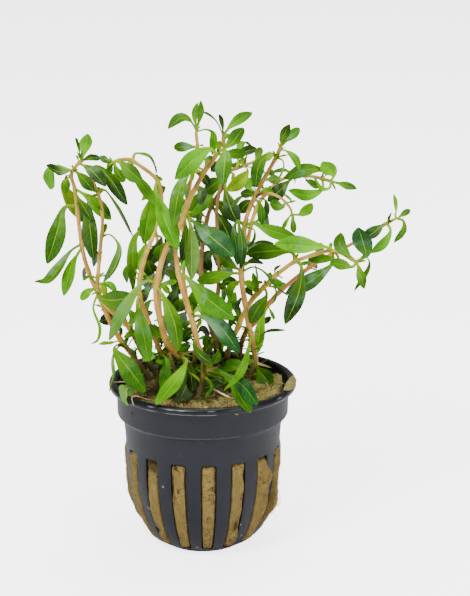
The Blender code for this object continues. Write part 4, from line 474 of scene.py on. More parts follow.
         (DEEP, 4.0, 10, 3, (2.6, 101.8), (5, 102.6), (9.4, 97.4)),
         (DARK, 2.6, 10, 4, (6.8, 113.6), (5, 114.6), (2.6, 112.4)),
         (DARK, 2.4, 15, -2, (1.4, 98), (0, 99.8), (-1.4, 97))],
    ),
    "shoot_right_upper": shoot(
        TAN_STEM, (0.55, 0.95),
        [(15.8, 51.2, 12.4), (15.6, 56, 11.5), (15, 60.5, 11), (13.9, 65, 10.5),
         (12.9, 69.5, 10), (12.4, 74, 10), (11.7, 79, 10.5), (11.6, 83, 11), (12.3, 88, 11.5),
         (13.4, 93, 12), (14.5, 98, 12.5), (15.6, 101.3, 12.5), (16.8, 103.8, 13),
         (18.5, 106, 14), (20.8, 108.4, 15), (23, 110.1, 16), (26, 110.9, 17.5),
         (29, 111.1, 19), (32, 110.8, 20), (34.5, 110.2, 21), (37.5, 109.3, 22)],
        [(FRESH, 2.2, 30, -1, (37.2, 109.4), (40.5, 108.5), (44.3, 107.3)),
         (LIME, 2.1, 60, -3, (37, 109.4), (36.4, 107.4), (34, 107.4), (31.9, 110.6)),
         (LIME, 4.3, 0, -3, (36.8, 109.5), (37.6, 111.6), (34.4, 115.2)),
         (BRIGHT, 3.4, 0, -2, (34.5, 110.2), (34.6, 107.8), (33.2, 106.2), (29.3, 105.3),
          (24.8, 106.8)),
         (MID, 3.9, 5, -5, (34.3, 110.3), (34.6, 112.4), (32, 113.1), (28, 112.5), (23.4, 110.4)),
         (MID, 3.0, 20, 6, (29.4, 111.1), (30.6, 108.8), (33.6, 108)),
         (DEEP, 4.1, 0, -8, (26.5, 111), (25.2, 109.8), (22, 106.5), (18.9, 103.7)),
         (MID, 1.6, 20, 8, (26, 110.9), (24, 112.6), (20, 112.2)),
         (SHADED, 3.0, 20, 7, (18.4, 105.8), (16.6, 109), (13, 109)),
         (MID, 3.4, 10, 6, (14.2, 96.6), (17.2, 98.4), (19, 95.6)),
         (DARK, 2.2, 10, 5, (12.2, 87.6), (15, 90.6), (20.6, 91)),
         (LIME, 3.0, 20, 5, (11.6, 80), (8.8, 78.2), (7.4, 74.2)),
         (DARK, 3.6, 20, 10, (13.2, 92), (12, 93), (10.8, 90)),
         (MID, 3.4, 20, 10, (12.9, 69.5), (14.2, 70.4), (15.6, 67)),
         (DARK, 3.4, 10, 2, (15.6, 101.3), (13.4, 103.2), (10.8, 100.2))],
    ),
    "shoot_back_left": shoot(
        TAN_STEM, (0.5, 1.0),
        [(-8.5, 52.4, 16), (-10, 58, 17.5), (-11.8, 66, 19.5), (-12.6, 74, 22.5),
         (-12.2, 82, 26), (-12.6, 90, 28.5), (-13.6, 97, 30), (-13.4, 103, 31.5)],
        [(MID, 3.2, 10, 3, (-13.4, 102.6), (-13, 106), (-10.4, 107.8)),
         (BRIGHT, 3.2, 20, 7, (-13.4, 102.6), (-15, 105.6), (-17.2, 104)),
         (YOUNG, 1.8, 40, -1, (-13.4, 103), (-14, 106.6)),
         (DEEP, 3.6, 20, 4, (-13.6, 98), (-10.2, 99.6), (-7, 96)),
         (MID, 4.0, 10, 10, (-13.5, 97), (-15.8, 97.4), (-17.4, 93)),
         (MID, 4.4, 0, 13, (-12.6, 90), (-10.4, 90.6), (-8, 85)),
         (DARK, 4.2, 10, 3, (-12.6, 89), (-15.4, 90), (-18.4, 84.4)),
         (MID, 4.6, 0, 4, (-12.2, 81.6), (-9.4, 82.6), (-6.2, 76)),
         (DEEP, 4.4, 10, 15, (-12.2, 81), (-14.2, 81.6), (-16, 77.4)),
         (BLUISH, 4.4, 10, 13, (-12.6, 73.6), (-10.6, 74), (-8.6, 69.4)),
         (MID, 2.6, 10, 5, (-12.5, 73), (-15.4, 73.6), (-18.8, 68)),
         (DEEP, 4.0, 10, 12, (-11.6, 65.4), (-9.4, 66), (-7.4, 62)),
         (LIME, 3.6, 20, 6, (-11.2, 64), (-14.2, 64.8), (-17.6, 61))],
    ),
    "shoot_back_centre": shoot(
        TAN_STEM, (0.5, 1.0),
        [(-2.5, 53.4, 19), (-2.2, 57.4, 19.5), (-1.9, 62, 20.5), (-2.8, 67, 21), (-4, 72, 22),
         (-5, 77, 23.5), (-5.4, 82, 24), (-5, 88, 24), (-5.4, 94, 25), (-5.8, 98.6, 26.5)],
        [(BRIGHT, 3.0, 10, 3, (-5.8, 98.2), (-5.6, 101.8), (-3.8, 103.8)),
         (MID, 3.2, 10, 8, (-5.8, 98.2), (-4, 100.4), (-1.4, 99.2)),
         (MID, 3.0, 30, 5, (-5.8, 98.2), (-7.6, 100.2), (-9.6, 98.4)),
         (DARK, 4.0, 0, 11, (-5.4, 93.2), (-3, 94.2), (-0.8, 90)),
         (DEEP, 3.8, 20, 6, (-5.3, 92.8), (-7.8, 94), (-9.6, 90)),
         (MID, 4.4, 0, 4, (-5.1, 85.6), (-2.2, 86.6), (0.8, 81.6)),
         (DARK, 4.2, 0, 14, (-5.2, 85), (-7.4, 85.8), (-9.6, 81)),
         (LIME, 4.4, 0, 13, (-5, 77.4), (-2.8, 78.2), (0, 74)),
         (DARK, 4.2, 0, 5, (-4.9, 76.6), (-7.6, 77.4), (-9.8, 71)),
         (MID, 4.2, 10, 6, (-3.6, 70), (-0.6, 71.6), (3, 68)),
         (DARK, 4.0, 10, 13, (-3.4, 69.4), (-5.4, 70), (-7, 65.6)),
         (LIME, 3.6, 20, 9, (-2, 61.4), (0.4, 62.4), (2.8, 58.6)),
         (DARK, 3.6, 10, -2, (-2, 62.6), (-3.6, 64.6), (-6.4, 61.2)),
         (DEEP, 2.6, 20, -3, (-1.9, 62.6), (-0.4, 65.2), (2, 63.2))],
    ),
}


def deselect_all():
    bpy.ops.object.select_all(action="DESELECT")


def select_only(thing):
    deselect_all()
    thing.select_set(True)
    bpy.context.view_layer.objects.active = thing


def edit(thing):
    """Opens a piece in edit mode with nothing selected."""
    select_only(thing)
    bpy.ops.object.mode_set(mode="EDIT")
    bpy.ops.mesh.select_mode(type="VERT")
    bpy.ops.mesh.select_all(action="DESELECT")


def leave_edit():
    bpy.ops.object.mode_set(mode="OBJECT")


def pick_verts(thing, chosen):
    """Selects the corners whose place passes the test."""
    bm = bmesh.from_edit_mesh(thing.data)
    for vert in bm.verts:
        vert.select_set(bool(chosen(vert.co)))
    bm.select_flush_mode()
    bmesh.update_edit_mesh(thing.data)


def pick_faces(thing, chosen):
    """Selects the faces whose middle passes the test."""
    bpy.ops.mesh.select_mode(type="FACE")
    bm = bmesh.from_edit_mesh(thing.data)
    for face in bm.faces:
        face.select_set(bool(chosen(face.calc_center_median())))
    bmesh.update_edit_mesh(thing.data)


def pick_open_edges(thing, chosen):
    """Selects the edges on a hole's rim whose middle passes the test."""
    bpy.ops.mesh.select_mode(type="EDGE")
    bm = bmesh.from_edit_mesh(thing.data)
    for edge in bm.edges:
        middle = (edge.verts[0].co + edge.verts[1].co) / 2
        edge.select_set(edge.is_boundary and bool(chosen(middle)))
    bmesh.update_edit_mesh(thing.data)


def apply_modifier(thing, kind, **values):
    """Adds a modifier with these values and applies it."""
    select_only(thing)
    modifier = thing.modifiers.new(kind.title(), kind)
    for key, value in values.items():
        setattr(modifier, key, value)
    bpy.ops.object.modifier_apply(modifier=modifier.name)


def settle(thing):
    """Puts the place, turn and size of a piece into its mesh."""
    select_only(thing)
    bpy.ops.object.transform_apply(location=True, rotation=True, scale=True)


def joined(name, things):
    """Several pieces as one, with the first one's name changed."""
    deselect_all()
    for thing in things:
        thing.select_set(True)
    bpy.context.view_layer.objects.active = things[0]
    if len(things) > 1:
        bpy.ops.object.join()
    things[0].name = name
    things[0].data.name = name
    return things[0]


def smooth(thing, angle=40.0):
    select_only(thing)
    bpy.ops.object.shade_smooth_by_angle(angle=math.radians(angle))


def read_rows(at, stations, rows):
    """Places, directions or colours in rows of three, read between their stations."""
    rows = np.array(rows)
    return np.stack([np.interp(at, stations, rows[:, axis]) for axis in range(3)], axis=1)


def unit_rows(rows):
    return rows / np.linalg.norm(rows, axis=1)[:, None]


def placed(across, up, behind):
    """A point read on the upright plane, moved behind it along its line of sight."""
    on_plane = np.array([across, 0.0, up])
    return EYE + (on_plane - EYE) * (1.0 - behind / EYE[1])


def smooth_path(points, samples):
    """A Catmull-Rom curve through the points, with as many samples in each stretch."""
    points = [np.asarray(p, float) for p in points]
    padded = [2 * points[0] - points[1], *points, 2 * points[-1] - points[-2]]
    stretches = len(points) - 1
    curve = []
    for step in range(samples):
        place = stretches * step / (samples - 1)
        index = min(int(place), stretches - 1)
        t = place - index
        a, b, c, d = padded[index : index + 4]
        bend = (2 * a - 5 * b + 4 * c - d) * t**2 + (3 * b - a - 3 * c + d) * t**3
        curve.append(0.5 * (2 * b + (c - a) * t + bend))
    return curve


def arc_lengths(curve):
    steps = [np.linalg.norm(b - a) for a, b in zip(curve, curve[1:])]
    return np.concatenate([[0.0], np.cumsum(steps)])


def unit(vector):
    return vector / np.linalg.norm(vector)


def along(curve, lengths, distance):
    """The point that far along the curve, and the direction there."""
    distance = min(max(distance, 0.0), lengths[-1])
    index = min(int(np.searchsorted(lengths, distance, side="right")) - 1, len(curve) - 2)
    step = curve[index + 1] - curve[index]
    share = (distance - lengths[index]) / (lengths[index + 1] - lengths[index])
    return curve[index] + step * share, unit(step)


class Stem:
    """A shoot's middle line and thickness, with the places where leaves stand on it."""

    def __init__(self, plan, rooted=True):
        route = [placed(*point) for point in plan["route"]]
        if rooted:
            down = unit(route[0] - route[1]) * ROOT_LEAN + np.array([0.0, 0.0, -1.0])
            route.insert(0, route[0] + unit(down) * ROOT_DEPTH)
        self.plan = plan
        self.curve = smooth_path(route, 12 * len(route))
        self.lengths = arc_lengths(self.curve)
        self.total = self.lengths[-1]
        self.feet = [self.foot_length(leaf[4]) for leaf in plan["leaves"]]
        self.side_stems = [Stem(side, rooted=False) for side in plan["sides"]]

    def radius(self, distance):
        tip, foot = self.plan["radii"]
        return foot + (tip - foot) * distance / self.total

    def foot_length(self, mark):
        """How far along the stem the point lies that is seen nearest to the mark."""
        best = None
        for point, length in zip(self.curve, self.lengths):
            seen = EYE + (point - EYE) * EYE[1] / (EYE[1] - point[1])
            gap = math.hypot(seen[0] - mark[0], seen[2] - mark[1])
            if best is None or gap < best[0]:
                best = (gap, length)
        return best[1]

    def joint(self, distance):
        """How near a leaf's foot this place is, from 0 to 1."""
        nearest = min((abs(distance - foot) for foot in self.feet), default=99.0)
        return math.exp(-((nearest / NODE_LENGTH) ** 2))


def swayed(leaf, number):
    """A leaf turned and carried out of the picture's plane, every other one the other way."""
    tint, width, roll, reach, *marks = leaf
    way = 1 if number % 2 else -1
    seen = arc_lengths([np.array(mark, float) for mark in marks])[-1]
    reach += seen * SWAY_REACH * (way if abs(reach) < 1.5 else math.copysign(1, reach))
    if width > PETIOLE_WIDTH and (roll < 40 or roll > 140):
        width *= 1 / math.cos(math.radians(SWAY_TURN))
        roll += way * SWAY_TURN
    return (tint, width, roll, reach, *marks)


def settled_reach(leaf, foot, solid_corners):
    """The reach at which the solid's own leaf tip lies, found among the solid's corners."""
    shifts = [step * REACH_STEP for step in range(1 - REACH_TRIES, REACH_TRIES)]
    def gap(shift):
        tip = placed(*leaf[-1], foot[1] + leaf[3] + shift)
        return solid_corners.find(Vector(tip))[2]
    return leaf[3] + min(shifts, key=lambda shift: (round(gap(shift), 2), abs(shift)))


def leaf_path(leaf, foot, reach):
    """The leaf's middle line in space, from its foot in the stem to its tip."""
    marks = [np.array(mark, float) for mark in leaf[4:]]
    lengths = arc_lengths(marks)
    points = [foot]
    for mark, length in zip(marks[1:], lengths[1:]):
        points.append(placed(*mark, foot[1] + reach * length / lengths[-1]))
    return smooth_path(points, PATH_SAMPLES)


def leaf_normals(curve, lengths, roll):
    """The directions along the leaf and of its upper face, set at the blade, carried both ways."""
    last = len(curve) - 1
    tangents = [unit(curve[min(i + 1, last)] - curve[max(i - 1, 0)]) for i in range(last + 1)]
    middle = int(np.searchsorted(lengths, 0.6 * lengths[-1]))
    tangent = tangents[middle]
    toward = EYE - curve[middle]
    toward = unit(toward - tangent * (toward @ tangent))
    upward = np.cross(tangent, toward)
    if upward[2] < 0:
        upward = -upward
    angle = math.radians(roll)
    normals = [toward * math.cos(angle) + upward * math.sin(angle)] * (last + 1)
    for order, step in ((range(middle + 1, last + 1), -1), (range(middle - 1, -1, -1), 1)):
        for index in order:
            normal = normals[index + step]
            normals[index] = unit(normal - tangents[index] * (normal @ tangents[index]))
    return tangents, normals


def copy_of(master):
    """A copy of a piece with its own mesh, and that mesh's corners in rows of three."""
    copy = master.copy()
    copy.data = master.data.copy()
    bpy.context.scene.collection.objects.link(copy)
    flat = np.empty(3 * len(copy.data.vertices))
    copy.data.vertices.foreach_get("co", flat)
    return copy, flat.reshape(-1, 3)


def scale_row(blade, row, rows, wider=1.0, thicker=1.0):
    """Makes one row of a flat leaf wider or thicker about its middle."""
    height = row / rows - 0.5
    pick_verts(blade, lambda co: abs(co.y - height) < 0.25 / rows)
    bpy.ops.transform.resize(value=(wider, 1, thicker), center_override=(0, height, 0))


def place_corners(thing, places):
    """Moves the corners of a piece to places in mm."""
    thing.data.vertices.foreach_set("co", (places * MM).ravel())


def model_blade(name, outline, looks):
    """A flat leaf of unit length and width: furrowed midrib, thin margin and stout foot."""
    rows = len(outline) - 1 if len(outline) < 12 else 2 * (len(outline) - 1)
    deselect_all()
    bpy.ops.mesh.primitive_grid_add(x_subdivisions=BLADE_COLUMNS, y_subdivisions=rows, size=1.0)
    blade = bpy.context.object
    blade.name = name
    blade.data.uv_layers[0].name = "blade"
    edit(blade)
    widths = np.interp(np.arange(rows + 1) / rows, np.linspace(0, 1, len(outline)), outline)
    for place, moved in COLUMN_MOVES:
        pick_verts(blade, lambda co: abs(abs(co.x) - place) < 0.01)
        bpy.ops.transform.resize(value=(moved / place, 1, 1), center_override=(0, 0, 0))
    for row, width in enumerate(widths):
        scale_row(blade, row, rows, wider=max(width, NARROWEST))
    leave_edit()
    blade.data.materials.append(looks["blade"])
    blade.data.materials.append(looks["underside"])
    apply_modifier(blade, "SOLIDIFY", thickness=BLADE_THICKNESS, offset=0.0, material_offset=1,
                   material_offset_rim=0)
    edit(blade)
    half = 0.5 * np.maximum(widths, NARROWEST)
    def on_margin(co):
        row = int(round((co.y + 0.5) * rows))
        return abs(co.x) > 0.97 * half[row] - 0.001
    pick_verts(blade, on_margin)
    bpy.ops.transform.resize(value=(1, 1, MARGIN_THINNING), center_override=(0, 0, 0))
    foot = PETIOLE_THICKNESS / BLADE_THICKNESS
    for row in range(rows + 1):
        stout = 1 + (foot - 1) * max(0.0, 1 - 4.5 * row / rows)
        if stout > 1.02:
            scale_row(blade, row, rows, thicker=stout)
    near_midrib = 0.25 / BLADE_COLUMNS
    for face, end, sunk in ((1, 0.44, MIDRIB_FURROW), (-1, 0.4, MIDRIB_KEEL)):
        pick_verts(blade, lambda co: abs(co.x) < near_midrib and co.z * face > 0
                   and -0.35 < co.y < end)
        bpy.ops.transform.translate(value=(0, 0, -sunk))
    leave_edit()
    return blade


def laid_blade(master, outline, tint, width, curve, roll, rng):
    """A copy of a blade laid along its own middle line, with its fold, wave and twist."""
    lengths = arc_lengths(curve)
    blade, flat = copy_of(master)
    share = flat[:, 1] + 0.5
    total = lengths[-1]
    middle, tangent, normal = (read_rows(share * total, lengths, rows)
                               for rows in (curve, *leaf_normals(curve, lengths, roll)))
    tangent = unit_rows(tangent)
    normal = unit_rows(normal - tangent * np.sum(normal * tangent, axis=1)[:, None])
    twist = math.radians(rng.uniform(-LEAF_TWIST, LEAF_TWIST)) * (share - 0.6)
    side = np.cross(normal, tangent)
    side = side * np.cos(twist)[:, None] + normal * np.sin(twist)[:, None]
    normal = np.cross(tangent, side)
    full = np.interp(share, np.linspace(0, 1, len(outline)), outline)
    full = np.maximum(full, NARROWEST) * width
    stalk = min(STALK_WIDTH, 0.09 * total + 0.12)
    spread = np.where(share < 0.5, np.maximum(full, stalk) / full, 1.0)
    across = flat[:, 0] * width * spread
    fold = rng.uniform(*LEAF_FOLD) * np.clip(share * 4 - 0.4, 0, 1)
    wave = rng.uniform(0.0, LEAF_WAVE) * width
    wave = wave * np.sin(share * rng.uniform(9, 15) + rng.uniform(0, 6))
    stout = min(1.0, 0.45 + 0.03 * total)
    lift = fold * np.abs(across) + wave * (2 * flat[:, 0]) ** 2 + flat[:, 2] * stout
    place_corners(blade, middle + side * across[:, None] + normal * lift[:, None])
    paint(blade, "tint", varied(tint, rng, 0.10))
    # How much painted sheen the leaf shows
    paint_values(blade, "sheen_share", 1.0 if tint == BLUISH else rng.uniform(0.0, 0.7))
    return blade


def side_leaf_curve(stem, distance, length, turn, lean, droop):
    """The middle line of a small leaf that stands on a stem, turned round it by an angle."""
    base, tangent = along(stem.curve, stem.lengths, distance)
    outward = unit(np.cross(tangent, (0.0, 1.0, 0.001)))
    forward = np.cross(tangent, outward)
    away = outward * math.cos(turn) + forward * math.sin(turn)
    curve = []
    for step in range(9):
        share = step / 8
        leaning = math.radians(lean) + math.radians(droop) * share
        heading = tangent * math.cos(leaning) + away * math.sin(leaning)
        curve.append(base if step == 0 else curve[-1] + heading * length / 8)
    return curve


def bud_leaves(stem, masters, rng):
    """The tiny leaves that sit in the joints where the large ones stand."""
    buds = []
    for foot in stem.feet:
        if rng.random() > BUD_SHARE:
            continue
        for _ in range(rng.choice((1, 2, 2, 3))):
            length = rng.uniform(*BUD_LENGTH)
            turn, lean = rng.uniform(0, 2 * math.pi), rng.uniform(20, 60)
            curve = side_leaf_curve(stem, foot, length, turn, lean, rng.uniform(-10, 50))
            tint = rng.choice((MID, BRIGHT, YOUNG, YOUNG))
            kind = rng.choice(("bud", "slender"))
            width = length * rng.uniform(0.3, 0.46)
            buds.append(laid_blade(*masters[kind], tint, width, curve, 60, rng))
    return buds


def low_sprigs(stem, masters, rng):
    """Tufts of small leaves round the foot of a stem, just above the rockwool."""
    leaves = []
    start, end = ROOT_DEPTH + 1.0, ROOT_DEPTH + SPRIG_REACH
    distance = start + rng.uniform(0, 2)
    while distance < min(end, 0.5 * stem.total):
        for _ in range(rng.choice((2, 3, 4))):
            length = rng.uniform(*SPRIG_LENGTH) * (1.0 if distance < 0.7 * end else 0.75)
            turn, lean = rng.uniform(0, 2 * math.pi), rng.uniform(25, 70)
            curve = side_leaf_curve(stem, distance, length, turn, lean, rng.uniform(0, 60))
            tint = rng.choice((DEEP, DARK, DARK, DARK, MID, YOUNG))
            kind = rng.choice(("slender", "oval"))
            width = length * rng.uniform(0.22, 0.36)
            leaves.append(laid_blade(*masters[kind], tint, width, curve, 70, rng))
        distance += rng.uniform(1.8, 4.0)
    return leaves


def varied(colour, rng, spread):
    """A colour a little lighter or darker, warmer or cooler."""
    light = 1 + rng.uniform(-spread, spread) * 1.6
    warm = 1 + rng.uniform(-spread, spread) * 1.4
    return (colour[0] * light * warm, colour[1] * light, colour[2] * light / warm)


def paint(thing, name, colours):
    """Gives the corners of a piece their colours, or all of them one, in an attribute."""
    layer = thing.data.attributes.new(name, "FLOAT_COLOR", "POINT")
    rows = np.ones((len(thing.data.vertices), 4))
    rows[:, :3] = colours
    layer.data.foreach_set("color", rows.ravel())


def paint_values(thing, name, values):
    """Gives the corners of a piece their numbers, or all of them one, in an attribute."""
    layer = thing.data.attributes.new(name, "FLOAT", "POINT")
    layer.data.foreach_set("value", np.full(len(thing.data.vertices), values, float))


def laid_stem(name, stem):
    """A stem as a round tube that swells at its nodes, coloured from foot to tip."""
    steps = max(8, int(stem.total / STEM_STEP))
    line = bpy.data.curves.new(name, "CURVE")
    line.dimensions = "3D"
    line.bevel_depth = MM
    line.bevel_resolution = 3
    line.use_fill_caps = True
    spline = line.splines.new("POLY")
    spline.points.add(steps)
    rows = []
    nearest = KDTree(steps + 1)
    for step in range(steps + 1):
        distance = stem.total * step / steps
        place, _ = along(stem.curve, stem.lengths, distance)
        joint = stem.joint(distance)
        wobble = 1 + STEM_WOBBLE * noise.noise(Vector(place) * 0.35)
        radius = stem.radius(distance) * wobble * (STEM_SLIMNESS + NODE_SWELL * joint)
        radius *= min(1.0, TIP_THICKNESS + (stem.total - distance) / TIP_LENGTH)
        spline.points[step].co = (*(place * MM), 1.0)
        spline.points[step].radius = radius
        nearest.insert(Vector(place) * MM, step)
        rows.append((distance / stem.total, joint))
    nearest.balance()
    thing = bpy.data.objects.new(name, line)
    bpy.context.scene.collection.objects.link(thing)
    select_only(thing)
    bpy.ops.object.convert(target="MESH")
    thing = bpy.context.object
    shares, joints = zip(*(rows[nearest.find(vert.co)[1]] for vert in thing.data.vertices))
    foot, middle, tip = stem.plan["tints"]
    # The dark foot colour is painted shade near the rockwool
    paint(thing, "tint", read_rows(shares, STEM_STOPS, (foot, foot, middle, middle, tip)))
    paint_values(thing, "joint", joints)
    return thing


def solid_corners(node):
    """The corners of a solid, in mm, for nearest searches."""
    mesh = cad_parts[node].data
    tree = KDTree(len(mesh.vertices))
    for vert in mesh.vertices:
        tree.insert(vert.co / MM, vert.index)
    tree.balance()
    return tree


def blade_kind(width, length, rng):
    """Which blade suits a leaf of that size."""
    if width < SLENDER_BELOW * length:
        return "slender"
    if length < SMALL_LEAF_LENGTH:
        return "spoon"
    return rng.choice(("broad", "oval")) if width > BROAD_FROM * length else "lance"


def build_shoot(name, plan, masters, looks):
    """A shoot's stem and its leaves, each leaf where its solid's tip lies."""
    rng = random.Random(name)
    corners = solid_corners(name)
    stem = Stem(plan)
    stems, leaves = [], []
    for part in (stem, *stem.side_stems):
        stems.append(laid_stem(f"{name}_stem_part", part))
        for number, (leaf, length) in enumerate(zip(part.plan["leaves"], part.feet)):
            leaf = swayed(leaf, number)
            foot, _ = along(part.curve, part.lengths, length)
            reach = leaf[3] if leaf[-1] in NEARER_TIPS else settled_reach(leaf, foot, corners)
            curve = leaf_path(leaf, foot, reach)
            own = random.Random(f"{name} {leaf[-1]}")
            kind = blade_kind(leaf[1], arc_lengths(curve)[-1], own)
            if leaf[-1] in STALKED_TIPS:
                kind = "stalked"
            leaves.append(laid_blade(*masters[kind], *leaf[:2], curve, leaf[2], own))
        leaves += bud_leaves(part, masters, rng)
    leaves += low_sprigs(stem, masters, rng)
    stem_piece = joined(f"{name}_stem", stems)
    stem_piece.data.materials.append(looks["stem"])
    leaf_piece = joined(f"{name}_leaves", leaves)
    leaf_piece.data.materials.clear()
    leaf_piece.data.materials.append(looks["blade"])
    leaf_piece.data.materials.append(looks["underside"])
    for piece in (stem_piece, leaf_piece):
        smooth(piece, 60.0)
        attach(piece, "root")
        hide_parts(name)
    return stem_piece, leaf_piece


POT_COLUMNS = 8 * SLOT_COUNT
SLOT_STEPS = 14
SLOT_CORNER = 0.7
WOOL_GAP = 0.32

# The plug draws back from the wall at the right rear, by this much round this angle
WALL_GAP = 2.1
WALL_GAP_TURN = math.radians(38)
WALL_GAP_HALF_TURN = 0.34
WALL_GAP_DIP = 1.2

# The plug's neck and top, its heap against the rim, and the swirl of ridges at the right
WOOL_NECK_FROM = 41.0
WOOL_TOP_FROM = 46.5
WOOL_TOP_EDGE = 24.2
WOOL_EDGE = 23.9
RIM_HEAP = 1.5
SWIRL_MIDDLE = (15.0, -3.0)
SWIRL_RINGS = 2.1
SWIRL_ARMS = 1.2
SWIRL_UNEVEN = 3.2
CRACK_WIDTH = 0.07
PAD_RAGGEDNESS = 0.022

# The torn scrap over the rim: place, half size across, along and up, taper, droop and lumps
RIM_MIDDLE = 26.0
SCRAP_TURN = math.radians(-12)
SCRAP_RADIUS = 26.4
SCRAP_HEIGHT = 50.3
SCRAP_HALF_SIZE = (1.25, 6.6, 0.6)
SCRAP_TAPER = 0.019
SCRAP_DROOP = 0.12
SCRAP_LUMPS = 0.5

# Where the wool's pale top begins, and the dark patch on it under the leaves: partly debris, partly
# painted shade
WOOL_TOP_FADE = (43.5, 45.5)
SHADE_AND_DEBRIS_MIDDLE = Vector((-3.5, 3.0, 0.0))
SHADE_AND_DEBRIS_FADE = (15.0, 18.5)
# Turn and stretch of the three layers of matted fibres
FIBRE_LAYERS = (
    ((0.2, 0.3, 0.5), (1, 9, 4)), ((1.1, 0.4, 2.0), (8, 1, 5)), ((0.5, 1.3, 3.4), (6, 7, 1)),
)

# The pot's lip, darker by painted shade, and thin painted highlight lines round the lip and
# shoulder, broken by noise: from, to, where broken, strength, colour
LIP_SHADE_AND_GLOSS_FADE = (47.7, 48.0)
LINE_FADE = 0.15
PAINTED_HIGHLIGHT_LINES = (
    (47.9, 48.4, 0.47, 0.7, (0.19, 0.195, 0.21)),
    (49.15, 49.6, 0.52, 0.7, (0.19, 0.195, 0.21)),
    (39.8, 40.35, 0.42, 0.35, (0.09, 0.093, 0.105)),
)

FLOOR_GLOW = 3.2
SURROUND_STRENGTH = 0.42
LIT_PLACE = (0, 0, 0.07)

# Hollows in the wool: slot, place across it, height, half sizes, depth
WOOL_HOLLOWS = (
    (14, 0.05, 29.6, 0.3, 1.7, 2.8), (14, -0.22, 22, 0.05, 6, 0.9), (14, -0.1, 8, 0.2, 0.5, 1.0),
    (15, -0.22, 24, 0.06, 2.6, 1.4), (15, 0.05, 18, 0.2, 0.5, 0.6), (0, -0.1, 9, 0.15, 0.5, 0.6),
    (0, 0.2, 27, 0.05, 1.5, 0.7), (1, 0.1, 26.4, 0.2, 0.4, 0.9), (1, 0.24, 27.2, 0.07, 1.2, 1.6),
    (1, 0.24, 17, 0.05, 4, 1.2), (1, 0.08, 10.5, 0.07, 1.6, 1.4), (2, 0.0, 30.8, 0.2, 0.8, 1.4),
    (2, 0.24, 28.3, 0.05, 1.4, 2.0), (2, 0.05, 23.4, 0.12, 0.5, 0.9), (13, 0.2, 18, 0.08, 3, 1.2),
    (5, 0.1, 26, 0.12, 1.5, 1.2), (7, -0.15, 20, 0.1, 2.5, 1.4), (8, 0.12, 12, 0.15, 0.6, 1.0),
    (10, -0.1, 27.5, 0.12, 1.4, 1.3), (11, 0.18, 16, 0.06, 3.5, 1.2),
)
# Spills out of the slots: the same, then how far outward and how far sideways, in pitches
WOOL_SPILLS = (
    (2, 0.25, 24.6, 0.18, 2.8, 1.1, 0.2), (2, 0.25, 15, 0.18, 7.5, 1.0, 0.14),
    (3, -0.05, 14, 0.3, 4.6, 1.9, -0.06), (3, 0.0, 27, 0.3, 4, 0.35, 0.0),
    (9, 0.2, 20, 0.2, 4, 0.7, 0.06), (1, 0.1, 5.5, 0.25, 2.2, 0.5, 0.03),
    (12, -0.1, 13, 0.25, 4, 0.6, -0.03), (6, 0.1, 9, 0.2, 3, 0.6, 0.04),
)

# Fibres by kind: colours, thickness, length from and to, lift, and the way they tend to lie
GOLD_FIBRE = (0.44, 0.33, 0.080)
STRAW_FIBRE = (0.78, 0.68, 0.25)
BROWN_FIBRE = (0.10, 0.055, 0.022)
FIBRE_KINDS = {
    "pad": ((GOLD_FIBRE, BROWN_FIBRE), 0.05, 1.0, 2.6, 0.12, (0, 0, 1)),
    "fringe": ((GOLD_FIBRE, STRAW_FIBRE), 0.045, 1.5, 3.4, 0.9, (0.4, -0.2, -1)),
    "fuzz": ((STRAW_FIBRE, GOLD_FIBRE, GOLD_FIBRE, BROWN_FIBRE), 0.09, 0.9, 2.2, 0.0, (0, 0, 1)),
    "top": ((GOLD_FIBRE, STRAW_FIBRE, BROWN_FIBRE), 0.1, 2.0, 5.0, 0.35, (0, 0, 0)),
    "litter": ((BROWN_FIBRE, BROWN_FIBRE, GOLD_FIBRE), 0.13, 1.5, 4.5, 0.5, (0, 0, 0)),
}
FIBRE_POINTS = 6
FIBRE_SINK = 0.06
PAD_FIBRES = 26
FRONT_FIBRES = 700
TOP_FIBRES = 420

# Dry straws: thickness, colour, then points in mm
STRAWS = (
    (0.2, (0.42, 0.30, 0.17), (-19.4, -20.3, 48.9), (-20.0, -19.0, 50.7), (-18.6, -17.6, 50.6),
     (-16.2, -16.2, 49.2), (-13.4, -15.0, 48.3)),
    (0.22, (0.50, 0.38, 0.22), (-25.9, -4.6, 50.35), (-23.6, -3.9, 50.2), (-21.0, -3.0, 49.6)),
    (0.26, (0.80, 0.68, 0.44), (3.1, -7.4, 49.2), (5.3, -10.0, 48.9), (7.9, -12.7, 48.5)),
    (0.22, (0.66, 0.60, 0.44), (-3.0, 0.6, 49.0), (-2.2, -1.0, 48.7), (-1.2, -2.8, 48.4)),
    (0.2, (0.60, 0.50, 0.34), (1.0, 15.4, 49.4), (3.0, 15.2, 49.3), (5.0, 15.0, 48.9)),
    (0.18, (0.36, 0.24, 0.12), (14.0, 9.0, 49.4), (11.0, 12.0, 49.3), (7.4, 13.6, 48.8)),
    (0.2, (0.48, 0.36, 0.20), (-9.0, 13.0, 48.5), (-13.0, 15.0, 48.9), (-17.0, 14.4, 48.5)),
)
